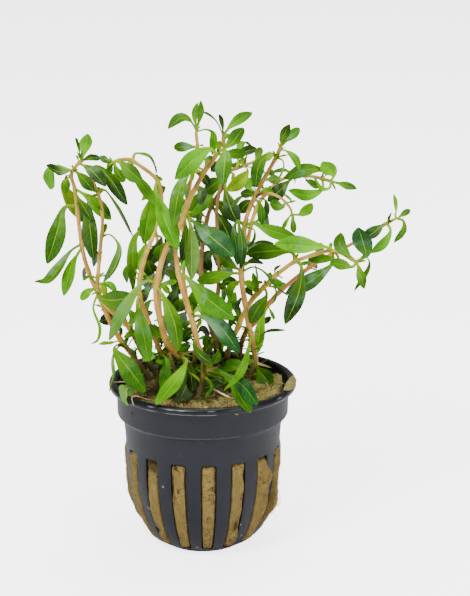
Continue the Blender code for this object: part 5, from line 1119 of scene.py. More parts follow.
# Leaves that lie on the rim and the wool: blade, tint, width, roll, then points in mm
FALLEN_LEAVES = (
    ("broad", PALE, 4.9, 165, (-18.3, -5.0, 48.6), (-20.0, -8.6, 49.9), (-21.6, -12.6, 50.9),
     (-21.7, -15.6, 50.2), (-21.2, -17.9, 47.9)),
    ("slender", MID, 1.5, 60, (0.8, -12.4, 47.4), (1.6, -11.8, 49.0), (2.9, -11.0, 51.0)),
    ("slender", DARK, 1.3, 60, (0.8, -12.4, 47.4), (0.2, -12.9, 48.6), (-0.6, -13.3, 49.4)),
    ("oval", DARK, 1.6, 60, (0.8, -12.4, 47.4), (1.0, -13.4, 48.4), (1.5, -14.4, 48.9)),
    ("broad", DEEP, 6.2, 15, (11.4, -2.5, 50.8), (7.0, -3.0, 50.7), (2.0, -3.0, 50.5),
     (-2.8, -2.5, 50.4)),
    ("oval", DARK, 3.4, 80, (-7.0, -4.0, 48.0), (-9.5, -8.0, 48.6), (-12.0, -11.5, 48.0)),
    ("lance", DARK, 3.0, 80, (9.0, 4.0, 48.4), (12.5, 5.0, 49.4), (16.5, 4.4, 49.0)),
    ("oval", DARK, 3.2, 75, (-4.0, 10.0, 48.0), (-1.0, 14.0, 49.2), (0.5, 18.0, 48.6)),
)
LIP_PROFILE = (
    (22.8, 32.0), (22.95, 34.5), (23.15, 36.5), (23.3, 38.2), (23.45, 38.9), (23.8, 39.3),
    (24.6, 39.75), (24.95, 39.95), (25.1, 40.25), (25.12, 40.7), (25.15, 42.0), (25.2, 44.0),
    (25.3, 46.4), (25.42, 47.4), (25.7, 47.75), (26.3, 47.9), (27.0, 47.95), (27.36, 48.15),
    (27.5, 48.5), (27.5, 48.95), (27.35, 49.45), (27.0, 49.8), (26.5, 50.0), (25.95, 49.95),
    (25.45, 49.7), (25.15, 49.3), (24.95, 48.6), (24.6, 47.3), (24.4, 45.5), (24.25, 42.0),
    (24.15, 40.9), (23.6, 40.2), (22.7, 39.5), (22.5, 38.9), (22.2, 35), (21.95, 32.5),
)


def from_axis(radius, turn, height):
    """The place, in metres, that lies so round the pot's axis, in mm."""
    return Vector((radius * math.cos(turn), radius * math.sin(turn), height)) * MM


def bowl_radius(height):
    """The outer wall's radius below the top of the slots."""
    share = 1.0 - min(height, BOWL_HEIGHT) / BOWL_HEIGHT
    swell = (1.0 - share**BOWL_POWER) ** (1.0 / BOWL_POWER)
    return BASE_RADIUS + (WALL_RADIUS - BASE_RADIUS) * swell


def bowl_point(height, inward=0.0):
    """Radius and height of a point that far inside the bowl's outer face, square to it."""
    lean = (bowl_radius(height + 0.05) - bowl_radius(height - 0.05)) / 0.1
    size = math.hypot(1.0, lean)
    return bowl_radius(height) - inward / size, height + inward * lean / size


def slot_heights():
    span = SLOT_TOP - SLOT_BOTTOM
    return [SLOT_BOTTOM + span * (step / SLOT_STEPS) ** 1.35 for step in range(SLOT_STEPS + 1)]


def slot_phase(x, y):
    """How far a place is from the nearest slot's middle, in pitches, and that slot's number."""
    turn = (math.atan2(y, x) - FIRST_SLOT_TURN) / SLOT_PITCH
    return turn - round(turn), round(turn) % SLOT_COUNT


def turned_shell(name, radius, height, profile):
    """A closed turned shape: a filled circle whose rim is extruded from ring to ring."""
    turn = FIRST_SLOT_TURN + SLOT_PITCH / 4
    deselect_all()
    bpy.ops.mesh.primitive_circle_add(vertices=POT_COLUMNS, radius=radius * MM, fill_type="NGON",
                                      location=(0, 0, height * MM), rotation=(0, 0, turn))
    shell = bpy.context.object
    shell.name = name
    settle(shell)
    edit(shell)
    pick_open_edges(shell, lambda co: True)
    for next_radius, next_height in profile:
        ratio = next_radius / radius
        bpy.ops.mesh.extrude_region()
        bpy.ops.transform.resize(value=(ratio, ratio, 1), center_override=(0, 0, 0))
        bpy.ops.transform.translate(value=(0, 0, (next_height - height) * MM))
        radius, height = next_radius, next_height
    bpy.ops.mesh.edge_face_add()
    bpy.ops.mesh.select_all(action="SELECT")
    bpy.ops.mesh.normals_make_consistent(inside=False)
    bpy.ops.mesh.select_all(action="DESELECT")
    return shell


def in_slot_rows(rows):
    """A test for faces that lie in a slot, on the wall whose rings these are."""
    middles = [((a[0] + b[0]) / 2, (a[1] + b[1]) / 2) for a, b in zip(rows, rows[1:])]
    def test(co):
        here = (math.hypot(co.x, co.y) / MM, co.z / MM)
        if abs(slot_phase(co.x, co.y)[0]) > 0.25:
            return False
        return min(math.dist(here, middle) for middle in middles) < 0.2
    return test


def build_pot(look):
    """The net pot: walls turned from base to rolled lip and back, sixteen slots cut and edged."""
    outer = [bowl_point(z) for z in slot_heights()]
    inner = [bowl_point(z, WALL_THICKNESS) for z in slot_heights()]
    profile = [*outer, *LIP_PROFILE, *reversed(inner), (BASE_RADIUS - BASE_INSET, BASE_THICKNESS)]
    pot = turned_shell("net_pot_moulded", BASE_RADIUS, 0.0, profile)
    outer_test, inner_test = in_slot_rows(outer), in_slot_rows(inner)
    pick_faces(pot, lambda co: outer_test(co) or inner_test(co))
    bpy.ops.mesh.delete(type="FACE")
    for slot in range(SLOT_COUNT):
        pick_open_edges(pot, lambda co: slot_phase(co.x, co.y)[1] == slot)
        bpy.ops.mesh.bridge_edge_loops()
    bpy.ops.mesh.select_all(action="SELECT")
    bpy.ops.mesh.normals_make_consistent(inside=False)
    corners = [outer[0], outer[-1]], [inner[0], inner[-1]]
    pick_slot_corners(pot, corners)
    bpy.ops.mesh.bevel(offset=SLOT_CORNER * MM, segments=4, affect="EDGES")
    leave_edit()
    apply_modifier(pot, "BEVEL", width=0.13 * MM, segments=2, limit_method="ANGLE",
                   angle_limit=math.radians(42))
    pot.data.materials.append(look)
    smooth(pot, 50.0)
    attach(pot, "root")
    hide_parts("net_pot")
    return pot


def pick_slot_corners(pot, corners):
    """Selects the short edges through the wall at the corners of every slot."""
    bpy.ops.mesh.select_mode(type="EDGE")
    bm = bmesh.from_edit_mesh(pot.data)
    def at_corner(co, places):
        here = (math.hypot(co.x, co.y) / MM, co.z / MM)
        side = abs(abs(slot_phase(co.x, co.y)[0]) - 0.25) < 0.01
        return side and min(math.dist(here, place) for place in places) < 0.05
    for edge in bm.edges:
        one, other = (vert.co for vert in edge.verts)
        through = [at_corner(one, places) and at_corner(other, others)
                   for places, others in (corners, corners[::-1])]
        edge.select_set(any(through))
    bmesh.update_edit_mesh(pot.data)


def wool_height(x, y):
    """The rockwool's top: sunk a little at the wall, mounded to the rim at the right."""
    right = max(0.0, x / WALL_RADIUS)
    edge = math.hypot(x, y) / WALL_RADIUS
    return WOOL_TOP + WOOL_MOUND * right**2 - WOOL_EDGE_DROP * edge**4


def lumps(place, size, seed):
    """Smooth lumps of that size in mm, from about -1 to 1."""
    return noise.noise(place / (size * MM) + Vector((seed, 3.7 * seed, 1.3 * seed)))


def build_wool(look):
    """The rockwool plug: a turned body that fills the pot, pressed out into every slot."""
    inward = WALL_THICKNESS + WOOL_GAP
    rows = [bowl_point(z, inward) for z in slot_heights()]
    neck = NECK_RADIUS - inward - 0.3
    profile = [*rows, (SHOULDER_RADIUS - inward - 0.1, SHOULDER_HEIGHT - 0.6),
               (neck - 0.1, SHOULDER_HEIGHT + 1.3), (neck, 45.6)]
    profile += [(neck - step, WOOL_TOP) for step in np.arange(0.4, neck - 0.5, 1.0)]
    foot_radius = BASE_RADIUS - BASE_INSET - WOOL_GAP
    wool = turned_shell("rockwool_plug", foot_radius, BASE_THICKNESS + WOOL_GAP, profile)
    pick_faces(wool, in_slot_rows(rows))
    bpy.ops.mesh.inset(thickness=0.3 * MM)
    bpy.ops.mesh.extrude_region()
    bpy.ops.transform.shrink_fatten(value=(inward + 0.1) * MM)
    leave_edit()
    apply_modifier(wool, "SUBSURF", levels=1, render_levels=1)
    paint_values(wool, "shift", [push_wool(vert) for vert in wool.data.vertices])
    wool.data.materials.append(look)
    smooth(wool, 180.0)
    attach(wool, "root")
    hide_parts("rockwool")
    return wool


def window(value, middle, half):
    """A soft bump, 1 at the middle and next to nothing beyond two halves."""
    return math.exp(-(((value - middle) / half) ** 2))


def top_of_wool(place, coarse, fine, crack):
    """Where a corner of the plug's top goes: lumps, ridges at the right, a gap at the wall."""
    x, y, _ = place / MM
    radius, turn = math.hypot(x, y), math.atan2(y, x)
    right = min(1.0, max(0.0, (x - 2) / 10))
    across, behind = x - SWIRL_MIDDLE[0], y - SWIRL_MIDDLE[1]
    swirl = math.sin(SWIRL_RINGS * math.hypot(across, behind)
                     + SWIRL_ARMS * math.atan2(behind, across) + SWIRL_UNEVEN * coarse)
    shift = 0.42 * coarse + 0.13 * fine
    shift = shift + (0.14 + 0.56 * right) * swirl - (0.8 + 0.8 * right) * crack
    shift += RIM_HEAP * window(turn, 0.0, 0.35) * window(radius, 24, 3)
    gap = window(turn, WALL_GAP_TURN, WALL_GAP_HALF_TURN)
    edge = (radius / WOOL_EDGE) ** 8
    radius -= WALL_GAP * gap * edge
    shift -= WALL_GAP_DIP * gap * edge
    return from_axis(radius, turn, wool_height(x, y) + shift), shift


def push_wool(vert):
    """Moves a corner of the plug into lumps, cracks and spills, and tells how far out it went."""
    place = vert.co.copy()
    x, y, z = place / MM
    radius, turn = math.hypot(x, y), math.atan2(y, x)
    coarse = lumps(place, 4.0, 1) + 0.5 * lumps(place, 1.8, 2)
    fine = lumps(place, 0.8, 3)
    crack = max(0.0, 1 - abs(lumps(place, 3.2, 4)) / CRACK_WIDTH)
    crack *= max(0.0, min(1.0, 3 * lumps(place, 7.0, 5)))
    if z > WOOL_TOP_FROM and radius < WOOL_TOP_EDGE:
        vert.co, shift = top_of_wool(place, coarse, fine, crack)
        return shift
    if z > WOOL_NECK_FROM:
        gap = window(turn, WALL_GAP_TURN, WALL_GAP_HALF_TURN)
        radius -= WALL_GAP * gap * (z - WOOL_NECK_FROM) / (WOOL_TOP_FROM - WOOL_NECK_FROM)
        vert.co = from_axis(radius, turn, z)
        return 0.0
    if radius < bowl_point(z, 1.0)[0] or z > SLOT_TOP + 1:
        return 0.0
    across, slot = slot_phase(x, y)
    middle = 1 - (2 * (z - SLOT_BOTTOM) / (SLOT_TOP - SLOT_BOTTOM) - 1) ** 2
    shift = 0.32 * coarse + 0.12 * fine - 0.6 * crack + 0.1 + 0.3 * max(0.0, middle)
    for spot, sideways, up, wide, high, depth in WOOL_HOLLOWS:
        if spot == slot:
            shift -= depth * window(across, sideways, wide) * window(z, up, high)
    for spot, sideways, up, wide, high, outward, spread in WOOL_SPILLS:
        if spot == slot:
            weight = window(across, sideways, wide) * window(z, up, high)
            shift += outward * weight
            turn += spread * weight * SLOT_PITCH
    ragged = PAD_RAGGEDNESS * (lumps(place, 2.2, 6) + 0.7 * lumps(place, 0.9, 7)) * SLOT_PITCH
    turn += ragged * min(1.0, abs(across) / 0.15)
    vert.co = from_axis(radius + shift, turn, z + 0.25 * lumps(place, 1.5, 8))
    return shift


def surface_finder(thing):
    """A search tree of a finished mesh, for laying small things on it."""
    corners = [vert.co.copy() for vert in thing.data.vertices]
    return BVHTree.FromPolygons(corners, [face.vertices[:] for face in thing.data.polygons])


def model_strand(name, sides, segments):
    """A thin rod of unit radius and length with rings along it, closed at its ends."""
    deselect_all()
    bpy.ops.mesh.primitive_cylinder_add(vertices=sides, radius=1.0, depth=1.0, end_fill_type="NGON")
    rod = bpy.context.object
    rod.name = name
    edit(rod)
    for ring in range(1, segments):
        bpy.ops.mesh.select_all(action="SELECT")
        bpy.ops.mesh.bisect(plane_co=(0, 0, ring / segments - 0.5), plane_no=(0, 0, 1))
    for end, share in ((-0.5, 0.7), (0.5, 0.35)):
        pick_verts(rod, lambda co: abs(co.z - end) < 0.01)
        bpy.ops.transform.resize(value=(share, share, 1), center_override=(0, 0, end))
    leave_edit()
    return rod


def laid_strand(master, curve, thickness, colour):
    """A copy of a rod laid along a line, in mm."""
    strand, flat = copy_of(master)
    middle = read_rows((flat[:, 2] + 0.5) * (len(curve) - 1), np.arange(len(curve)), curve)
    tangent = unit(curve[-1] - curve[0])
    side = unit(np.cross(tangent, (0.31, 0.2, 0.93)))
    normal = np.cross(tangent, side)
    place_corners(strand, middle + (flat[:, :1] * side + flat[:, 1:2] * normal) * thickness)
    paint(strand, "tint", colour)
    return strand


def lying_strand(base, normal, heading, length, lift, rng):
    """The line of a fibre that rises from a surface, arches a little and comes down."""
    heading = unit(heading - normal * (heading @ normal))
    sway = np.cross(normal, heading) * rng.uniform(-0.25, 0.25) * length
    curve = []
    for step in range(FIBRE_POINTS):
        share = step / (FIBRE_POINTS - 1)
        arch = math.sin(math.pi * min(1.0, share * 1.15)) * lift
        curve.append(base + heading * length * share + sway * share**2
                     + normal * (arch - FIBRE_SINK))
    return curve


def lay_fibres(name, looks, master, spots, rng):
    """Loose fibres on the rockwool. Each spot is a base, its normal and a kind of fibre."""
    strands = []
    for base, normal, kind in spots:
        colours, thickness, shortest, longest, lift, way = FIBRE_KINDS[kind]
        loose = np.array([rng.gauss(0, 1) for _ in range(3)])
        heading = np.array(way) * 1.6 + loose
        length, lift = rng.uniform(shortest, longest), lift * rng.uniform(0.4, 1.3)
        curve = lying_strand(base, normal, heading, length, lift, rng)
        if kind == "fuzz":
            upright = unit(np.array((rng.gauss(0, 0.35), -0.45 + rng.gauss(0, 0.3), 1.0)))
            curve = [base + upright * (step / (FIBRE_POINTS - 1)) * rng.uniform(shortest, longest)
                     for step in range(FIBRE_POINTS)]
        thickness *= rng.uniform(0.7, 1.3)
        strands.append(laid_strand(master, curve, thickness,
                                   varied(rng.choice(colours), rng, 0.12)))
    piece = joined(name, strands)
    piece.data.materials.append(looks["strand"])
    smooth(piece, 180.0)
    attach(piece, "root")
    return piece


def spots_on_pads(finder, rng):
    """Places on the wool that shows in the slots, with more where it spills out."""
    spots = []
    for slot in range(SLOT_COUNT):
        for _ in range(PAD_FIBRES):
            across, height = rng.uniform(-0.27, 0.27), rng.uniform(SLOT_BOTTOM + 1, SLOT_TOP - 0.5)
            spots.append((slot, across, height, "pad"))
    spots += [(3, rng.uniform(-0.3, 0.1), rng.uniform(9, 22), "fringe") for _ in range(45)]
    spots += [(2, rng.uniform(0.1, 0.4), rng.uniform(8, 27), "pad") for _ in range(40)]
    found = []
    for slot, across, height, kind in spots:
        turn = FIRST_SLOT_TURN + (slot + across) * SLOT_PITCH
        outward = Vector((math.cos(turn), math.sin(turn), 0))
        outside = outward * 40 * MM + Vector((0, 0, height * MM))
        hit, normal, _, _ = finder.ray_cast(outside, -outward)
        if hit and math.hypot(hit.x, hit.y) / MM > bowl_radius(height) - 0.7:
            found.append((np.array(hit) / MM, np.array(normal), kind))
    return found


def spots_on_top(finder, rng):
    """Places on the wool's top: cut fibre ends at the front, long strands elsewhere."""
    spots = []
    for _ in range(FRONT_FIBRES):
        turn, radius = math.radians(rng.uniform(-132, -40)), rng.uniform(18.0, 24.0)
        spots.append((radius * math.cos(turn), radius * math.sin(turn), "fuzz"))
    for _ in range(TOP_FIBRES):
        turn, radius = rng.uniform(-math.pi, math.pi), 23.5 * math.sqrt(rng.random())
        kind = "litter" if math.cos(turn) < -0.2 and rng.random() < 0.6 else "top"
        spots.append((radius * math.cos(turn), radius * math.sin(turn), kind))
    found = []
    for x, y, kind in spots:
        hit, normal, _, _ = finder.ray_cast(Vector((x, y, 60)) * MM, Vector((0, 0, -1)))
        if hit and hit.z / MM > 44:
            found.append((np.array(hit) / MM, np.array(normal), kind))
    return found


def build_litter(masters, looks, rod):
    """Dry straws, and fallen leaves and sprigs that lie on the rim and the rockwool."""
    straw_piece = joined("dry_straws", [
        laid_strand(rod, smooth_path(points, 16), thickness, colour)
        for thickness, colour, *points in STRAWS
    ])
    straw_piece.data.materials.append(looks["strand"])
    rng = random.Random("fallen leaves")
    leaf_piece = joined("fallen_leaves", [
        laid_blade(*masters[kind], tint, width, smooth_path(points, PATH_SAMPLES), roll, rng)
        for kind, tint, width, roll, *points in FALLEN_LEAVES
    ])
    for piece in (straw_piece, leaf_piece):
        smooth(piece, 60.0)
        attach(piece, "root")


def build_flap(look):
    """A torn scrap of rockwool that has come up over the rim at the right."""
    deselect_all()
    bpy.ops.mesh.primitive_cube_add(size=2 * MM)
    flap = bpy.context.object
    flap.name = "rockwool_scrap"
    edit(flap)
    bpy.ops.mesh.select_all(action="SELECT")
    bpy.ops.transform.resize(value=SCRAP_HALF_SIZE)
    bpy.ops.mesh.subdivide(number_cuts=7)
    leave_edit()
    apply_modifier(flap, "SUBSURF", levels=1, render_levels=1)
    for vert in flap.data.vertices:
        along_rim = vert.co.y / MM
        stout = 1 - SCRAP_TAPER * along_rim**2
        radius = SCRAP_RADIUS + vert.co.x / MM * stout
        height = SCRAP_HEIGHT + vert.co.z / MM * stout - SCRAP_DROOP * (radius - RIM_MIDDLE) ** 2
        place = from_axis(radius, SCRAP_TURN + along_rim / RIM_MIDDLE, height)
        vert.co = place + Vector((1, 1, 1)) * lumps(place, 1.3, 9) * SCRAP_LUMPS * MM
    flap.data.materials.append(look)
    smooth(flap, 180.0)
    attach(flap, "root")


class Tree:
    """A material's or a group's nodes, added and wired one by one."""

    def __init__(self, tree):
        self.tree = tree

    def feed(self, socket, value):
        """Links what changes over the surface to a socket, or sets a plain value on it."""
        if isinstance(value, bpy.types.NodeSocket):
            self.tree.links.new(value, socket)
        else:
            socket.default_value = value

    def add(self, kind, inputs=None, **settings):
        node = self.tree.nodes.new(kind)
        for key, value in settings.items():
            setattr(node, key, value)
        for key, value in (inputs or {}).items():
            self.feed(node.inputs[key], value)
        return node

    def use(self, group, **inputs):
        """Places a group here with its own values."""
        return self.add("ShaderNodeGroup", inputs, node_tree=group).outputs

    def painted(self, name, output="Fac"):
        return self.add("ShaderNodeAttribute", attribute_name=name).outputs[output]

    def math(self, operation, first, second=0.0, clamp=False):
        node = self.add("ShaderNodeMath", {0: first, 1: second}, operation=operation,
                        use_clamp=clamp)
        return node.outputs[0]

    def plus(self, first, second, clamp=False):
        return self.math("ADD", first, second, clamp)

    def minus(self, first, second):
        return self.math("SUBTRACT", first, second)

    def times(self, first, second):
        return self.math("MULTIPLY", first, second)

    def off_half(self, value):
        """How far a value is from a half, either way."""
        return self.math("ABSOLUTE", self.minus(value, 0.5))

    def ramp(self, value, low, high, to_low=0.0, to_high=1.0):
        """A smooth step from one value to another."""
        node = self.add("ShaderNodeMapRange", {
            "Value": value, "From Min": low, "From Max": high, "To Min": to_low, "To Max": to_high,
        }, interpolation_type="SMOOTHSTEP")
        return node.outputs["Result"]

    def fade(self, value, low, high):
        """A smooth step down from 1 to 0."""
        return self.ramp(value, low, high, 1.0, 0.0)

    def mix(self, factor, first, second, blend="MIX"):
        node = self.add("ShaderNodeMix", {0: factor}, data_type="RGBA", blend_type=blend)
        for key, colour in ((6, first), (7, second)):
            self.feed(node.inputs[key], (*colour, 1.0) if isinstance(colour, tuple) else colour)
        return node.outputs[2]

    def dyed(self, colour, dye):
        """A colour with its red, green and blue multiplied by those of the dye."""
        return self.mix(1.0, colour, dye, "MULTIPLY")

    def layers(self, colour, *layers):
        """Lays tints over a colour in turn, each by its mask and that mask's strength."""
        for mask, strength, tint in layers:
            colour = self.mix(self.times(mask, strength), colour, tint)
        return colour

    def noise(self, place, scale, detail=3.0, roughness=0.55, distortion=0.0):
        node = self.add("ShaderNodeTexNoise", {
            "Vector": place, "Scale": scale, "Detail": detail, "Roughness": roughness,
            "Distortion": distortion,
        })
        return node.outputs["Fac"]

    def drawn_out(self, place, stretch, turn=(0.0, 0.0, 0.0)):
        """The place turned and stretched, for streaks and strands."""
        return self.add("ShaderNodeMapping", {
            "Vector": place, "Rotation": turn, "Scale": stretch,
        }).outputs[0]

    def finish(self, shader, colour, roughness, height, depth, strength):
        """Wires a look to its shader: colour, roughness and a relief that many mm deep."""
        relief = self.add("ShaderNodeBump", {
            "Height": height, "Distance": depth * MM, "Strength": strength,
        })
        self.feed(shader.inputs["Base Color"], colour)
        self.feed(shader.inputs["Roughness"], roughness)
        self.feed(shader.inputs["Normal"], relief.outputs["Normal"])


def new_material(name, specular):
    """A material with its nodes, its shader and the place on the piece."""
    material = bpy.data.materials.new(name)
    material.use_nodes = True
    shader = material.node_tree.nodes["Principled BSDF"]
    shader.inputs["Specular IOR Level"].default_value = specular
    tree = Tree(material.node_tree)
    return material, tree, shader, tree.add("ShaderNodeTexCoord").outputs["Object"]


def new_group(name, inputs, outputs):
    """A node group whose first input is a place and all else numbers, with its inner ends."""
    group = bpy.data.node_groups.new(name, "ShaderNodeTree")
    for ends, way in ((inputs, "INPUT"), (outputs, "OUTPUT")):
        for socket in ends:
            kind = "NodeSocketVector" if socket == inputs[0] else "NodeSocketFloat"
            group.interface.new_socket(name=socket, in_out=way, socket_type=kind)
    tree = Tree(group)
    given, out = tree.add("NodeGroupInput").outputs, tree.add("NodeGroupOutput").inputs
    return group, tree, given, out


def mottle_group():
    """Soft uneven patches with a finer grain in them."""
    group, tree, given, out = new_group("mottle", ("Place", "Scale"), ("Patches", "Grain"))
    patches = tree.noise(given["Place"], given["Scale"], 3.0)
    grain = tree.noise(given["Place"], tree.times(given["Scale"], 7.0), 2.0, 0.6)
    tree.feed(out["Patches"], tree.ramp(patches, 0.32, 0.68))
    tree.feed(out["Grain"], tree.ramp(grain, 0.3, 0.7))
    return group


def specks_group():
    """Small scattered spots, such as dust, pores or pale flecks."""
    group, tree, given, out = new_group("specks", ("Place", "Scale", "Share"), ("Specks",))
    cells = tree.add("ShaderNodeTexVoronoi", {"Vector": given["Place"], "Scale": given["Scale"]})
    spot = tree.fade(cells.outputs["Distance"], 0.12, 0.3)
    chance = tree.add("ShaderNodeSeparateColor", {"Color": cells.outputs["Color"]}).outputs["Red"]
    chosen = tree.math("LESS_THAN", chance, given["Share"])
    tree.feed(out["Specks"], tree.times(spot, chosen))
    return group


def veins_group():
    """A leaf's midrib, side veins, stalk and margin, from its place along and across the blade."""
    group, tree, given, out = new_group(
        "veins", ("Blade", "Uneven"), ("Rib", "Veins", "Stalk", "Margin", "Middle", "Base"))
    parts = tree.add("ShaderNodeSeparateXYZ", {"Vector": given["Blade"]}).outputs
    across, length = tree.off_half(parts["X"]), parts["Y"]
    rib = tree.math("DIVIDE", across, tree.ramp(length, 0.15, 1.0, 0.15, 0.05))
    tree.feed(out["Rib"], tree.fade(rib, 0.35, 1.1))
    slant = tree.times(tree.math("POWER", across, 0.8), VEIN_SLANT)
    stripes = tree.minus(tree.times(length, VEIN_PAIRS), slant)
    stripes = tree.plus(stripes, tree.times(given["Uneven"], 0.9))
    line = tree.fade(tree.off_half(tree.math("FRACT", stripes)), 0.0, 0.14)
    veins = tree.times(tree.times(line, tree.fade(across, 0.3, 0.47)), tree.ramp(length, 0.2, 0.3))
    tree.feed(out["Veins"], veins)
    tree.feed(out["Stalk"], tree.fade(length, 0.1, 0.24))
    tree.feed(out["Margin"], tree.ramp(across, 0.42, 0.5))
    tree.feed(out["Base"], tree.fade(length, 0.2, 0.72))
    middle = tree.times(tree.ramp(length, 0.12, 0.34), tree.fade(length, 0.45, 0.8))
    tree.feed(out["Middle"], middle)
    return group


def fibres_group():
    """Matted fibres lying three ways over each other, with the gaps between the wads, where the
    wool's look puts painted shade.
    """
    group, tree, given, out = new_group("fibres", ("Place", "Scale"), ("Fibres", "Wads", "Cracks"))
    place, scale = given["Place"], given["Scale"]
    strands = None
    for turn, stretch in FIBRE_LAYERS:
        one = tree.noise(tree.drawn_out(place, stretch, turn), scale, 2.0, 0.6, 0.6)
        line = tree.fade(tree.off_half(one), 0.0, 0.09)
        strands = line if strands is None else tree.math("MAXIMUM", strands, line)
    tree.feed(out["Fibres"], strands)
    wads = tree.noise(place, tree.times(scale, 0.55), 4.0, 0.6, 0.8)
    tree.feed(out["Wads"], tree.ramp(wads, 0.3, 0.7))
    gaps = tree.noise(place, tree.times(scale, 1.3), 3.0, 0.6, 1.5)
    narrow = tree.fade(tree.off_half(gaps), 0.006, 0.03)
    tree.feed(out["Cracks"], tree.times(narrow, tree.ramp(wads, 0.47, 0.6)))
    return group


def blade_relief(tree, mottle, veins, way):
    """The height of a blade's grain and side veins, which stand up or lie sunk."""
    return tree.plus(tree.times(mottle["Grain"], 0.25), tree.times(veins["Veins"], way * 0.7))


def make_blade_look(groups):
    """The upper face: green with a bright midrib, faint side veins and patches of painted pale
    sheen.
    """
    material, tree, shader, place = new_material("leaf_upper_face", 0.07)
    blade = tree.add("ShaderNodeUVMap", uv_map="blade").outputs["UV"]
    tint, sheen_share = tree.painted("tint", "Color"), tree.painted("sheen_share")
    mottle = tree.use(groups["mottle"], Place=place, Scale=190.0)
    veins = tree.use(groups["veins"], Blade=blade, Uneven=mottle["Patches"])
    # deep and light are shaded and lit copies of the tint, mixed by lit: painted light and shade in
    # random patches; the lighter foot is the leaf's own paler base
    deep = tree.dyed(tint, (0.30, 0.39, 0.5))
    light = tree.dyed(tint, (1.80, 1.58, 1.25))
    warm = tree.mix(0.3, light, (0.20, 0.36, 0.004))
    rib_tint = tree.mix(0.6, light, (0.30, 0.52, 0.03))
    stalk_tint = tree.mix(0.6, light, (0.30, 0.38, 0.02))
    lit = tree.plus(tree.times(mottle["Patches"], 0.4), 0.12)
    lit = tree.plus(lit, tree.times(veins["Base"], 0.6), clamp=True)
    colour = tree.layers(
        tree.mix(lit, deep, light),
        (mottle["Grain"], 0.12, light),
        (veins["Base"], 0.62, warm),
        (veins["Veins"], 0.35, warm),
        (veins["Rib"], 0.82, rib_tint),
        (veins["Stalk"], 1.0, stalk_tint),
        (veins["Margin"], 0.3, deep),
    )
    # Painted sheen: pale bluish patches in the blade's middle, standing in for the wet shine on the
    # leaves
    sheen_patch = tree.ramp(tree.noise(place, 240.0, 2.0, 0.5), 0.46, 0.66)
    painted_sheen = tree.times(tree.times(sheen_patch, veins["Middle"]), tree.ramp(sheen_share, 0.3, 0.8))
    colour = tree.layers(colour, (painted_sheen, 0.4, (0.24, 0.46, 0.27)))
    roughness = tree.ramp(mottle["Grain"], 0.0, 1.0, 0.34, 0.5)
    height = blade_relief(tree, mottle, veins, -1)
    height = tree.minus(height, tree.times(veins["Rib"], 0.5))
    tree.finish(shader, colour, roughness, height, 0.12, 0.7)
    return material


def make_underside_look(groups):
    """The underside: paler, duller, with a wide whitish midrib."""
    material, tree, shader, place = new_material("leaf_underside", 0.12)
    blade = tree.add("ShaderNodeUVMap", uv_map="blade").outputs["UV"]
    mottle = tree.use(groups["mottle"], Place=place, Scale=380.0)
    veins = tree.use(groups["veins"], Blade=blade, Uneven=mottle["Patches"])
    base = tree.mix(0.4, tree.painted("tint", "Color"), (0.16, 0.30, 0.05))
    pale = tree.mix(0.35, base, (0.30, 0.46, 0.12))
    colour = tree.layers(
        base,
        (mottle["Patches"], 0.4, pale),
        (veins["Veins"], 0.5, pale),
        (veins["Rib"], 0.85, (0.42, 0.56, 0.20)),
        (veins["Stalk"], 0.6, (0.28, 0.38, 0.02)),
    )
    roughness = tree.ramp(mottle["Grain"], 0.0, 1.0, 0.5, 0.66)
    tree.finish(shader, colour, roughness, blade_relief(tree, mottle, veins, 1), 0.12, 0.7)
    return material


def make_stem_look(groups):
    """A smooth stem with lengthwise streaks, pale flecks and greener joints."""
    material, tree, shader, place = new_material("stem_skin", 0.2)
    tint, joint = tree.painted("tint", "Color"), tree.painted("joint")
    streaks = tree.use(groups["mottle"], Place=tree.drawn_out(place, (1, 1, 0.16)), Scale=900.0)
    broad = tree.use(groups["mottle"], Place=place, Scale=160.0)
    flecks = tree.use(groups["specks"], Place=place, Scale=1500.0, Share=0.22)
    deep = tree.dyed(tint, (0.68, 0.58, 0.52))
    light = tree.dyed(tint, (1.28, 1.27, 1.2))
    colour = tree.layers(
        tree.mix(broad["Patches"], deep, light),
        (streaks["Patches"], 0.45, deep),
        (joint, 0.6, tree.mix(0.45, tint, (0.24, 0.30, 0.03))),
        (flecks["Specks"], 0.35, (0.72, 0.52, 0.30)),
    )
    roughness = tree.ramp(streaks["Grain"], 0.0, 1.0, 0.38, 0.55)
    height = tree.plus(streaks["Patches"], tree.times(flecks["Specks"], 0.5))
    tree.finish(shader, colour, roughness, height, 0.06, 0.3)
    return material


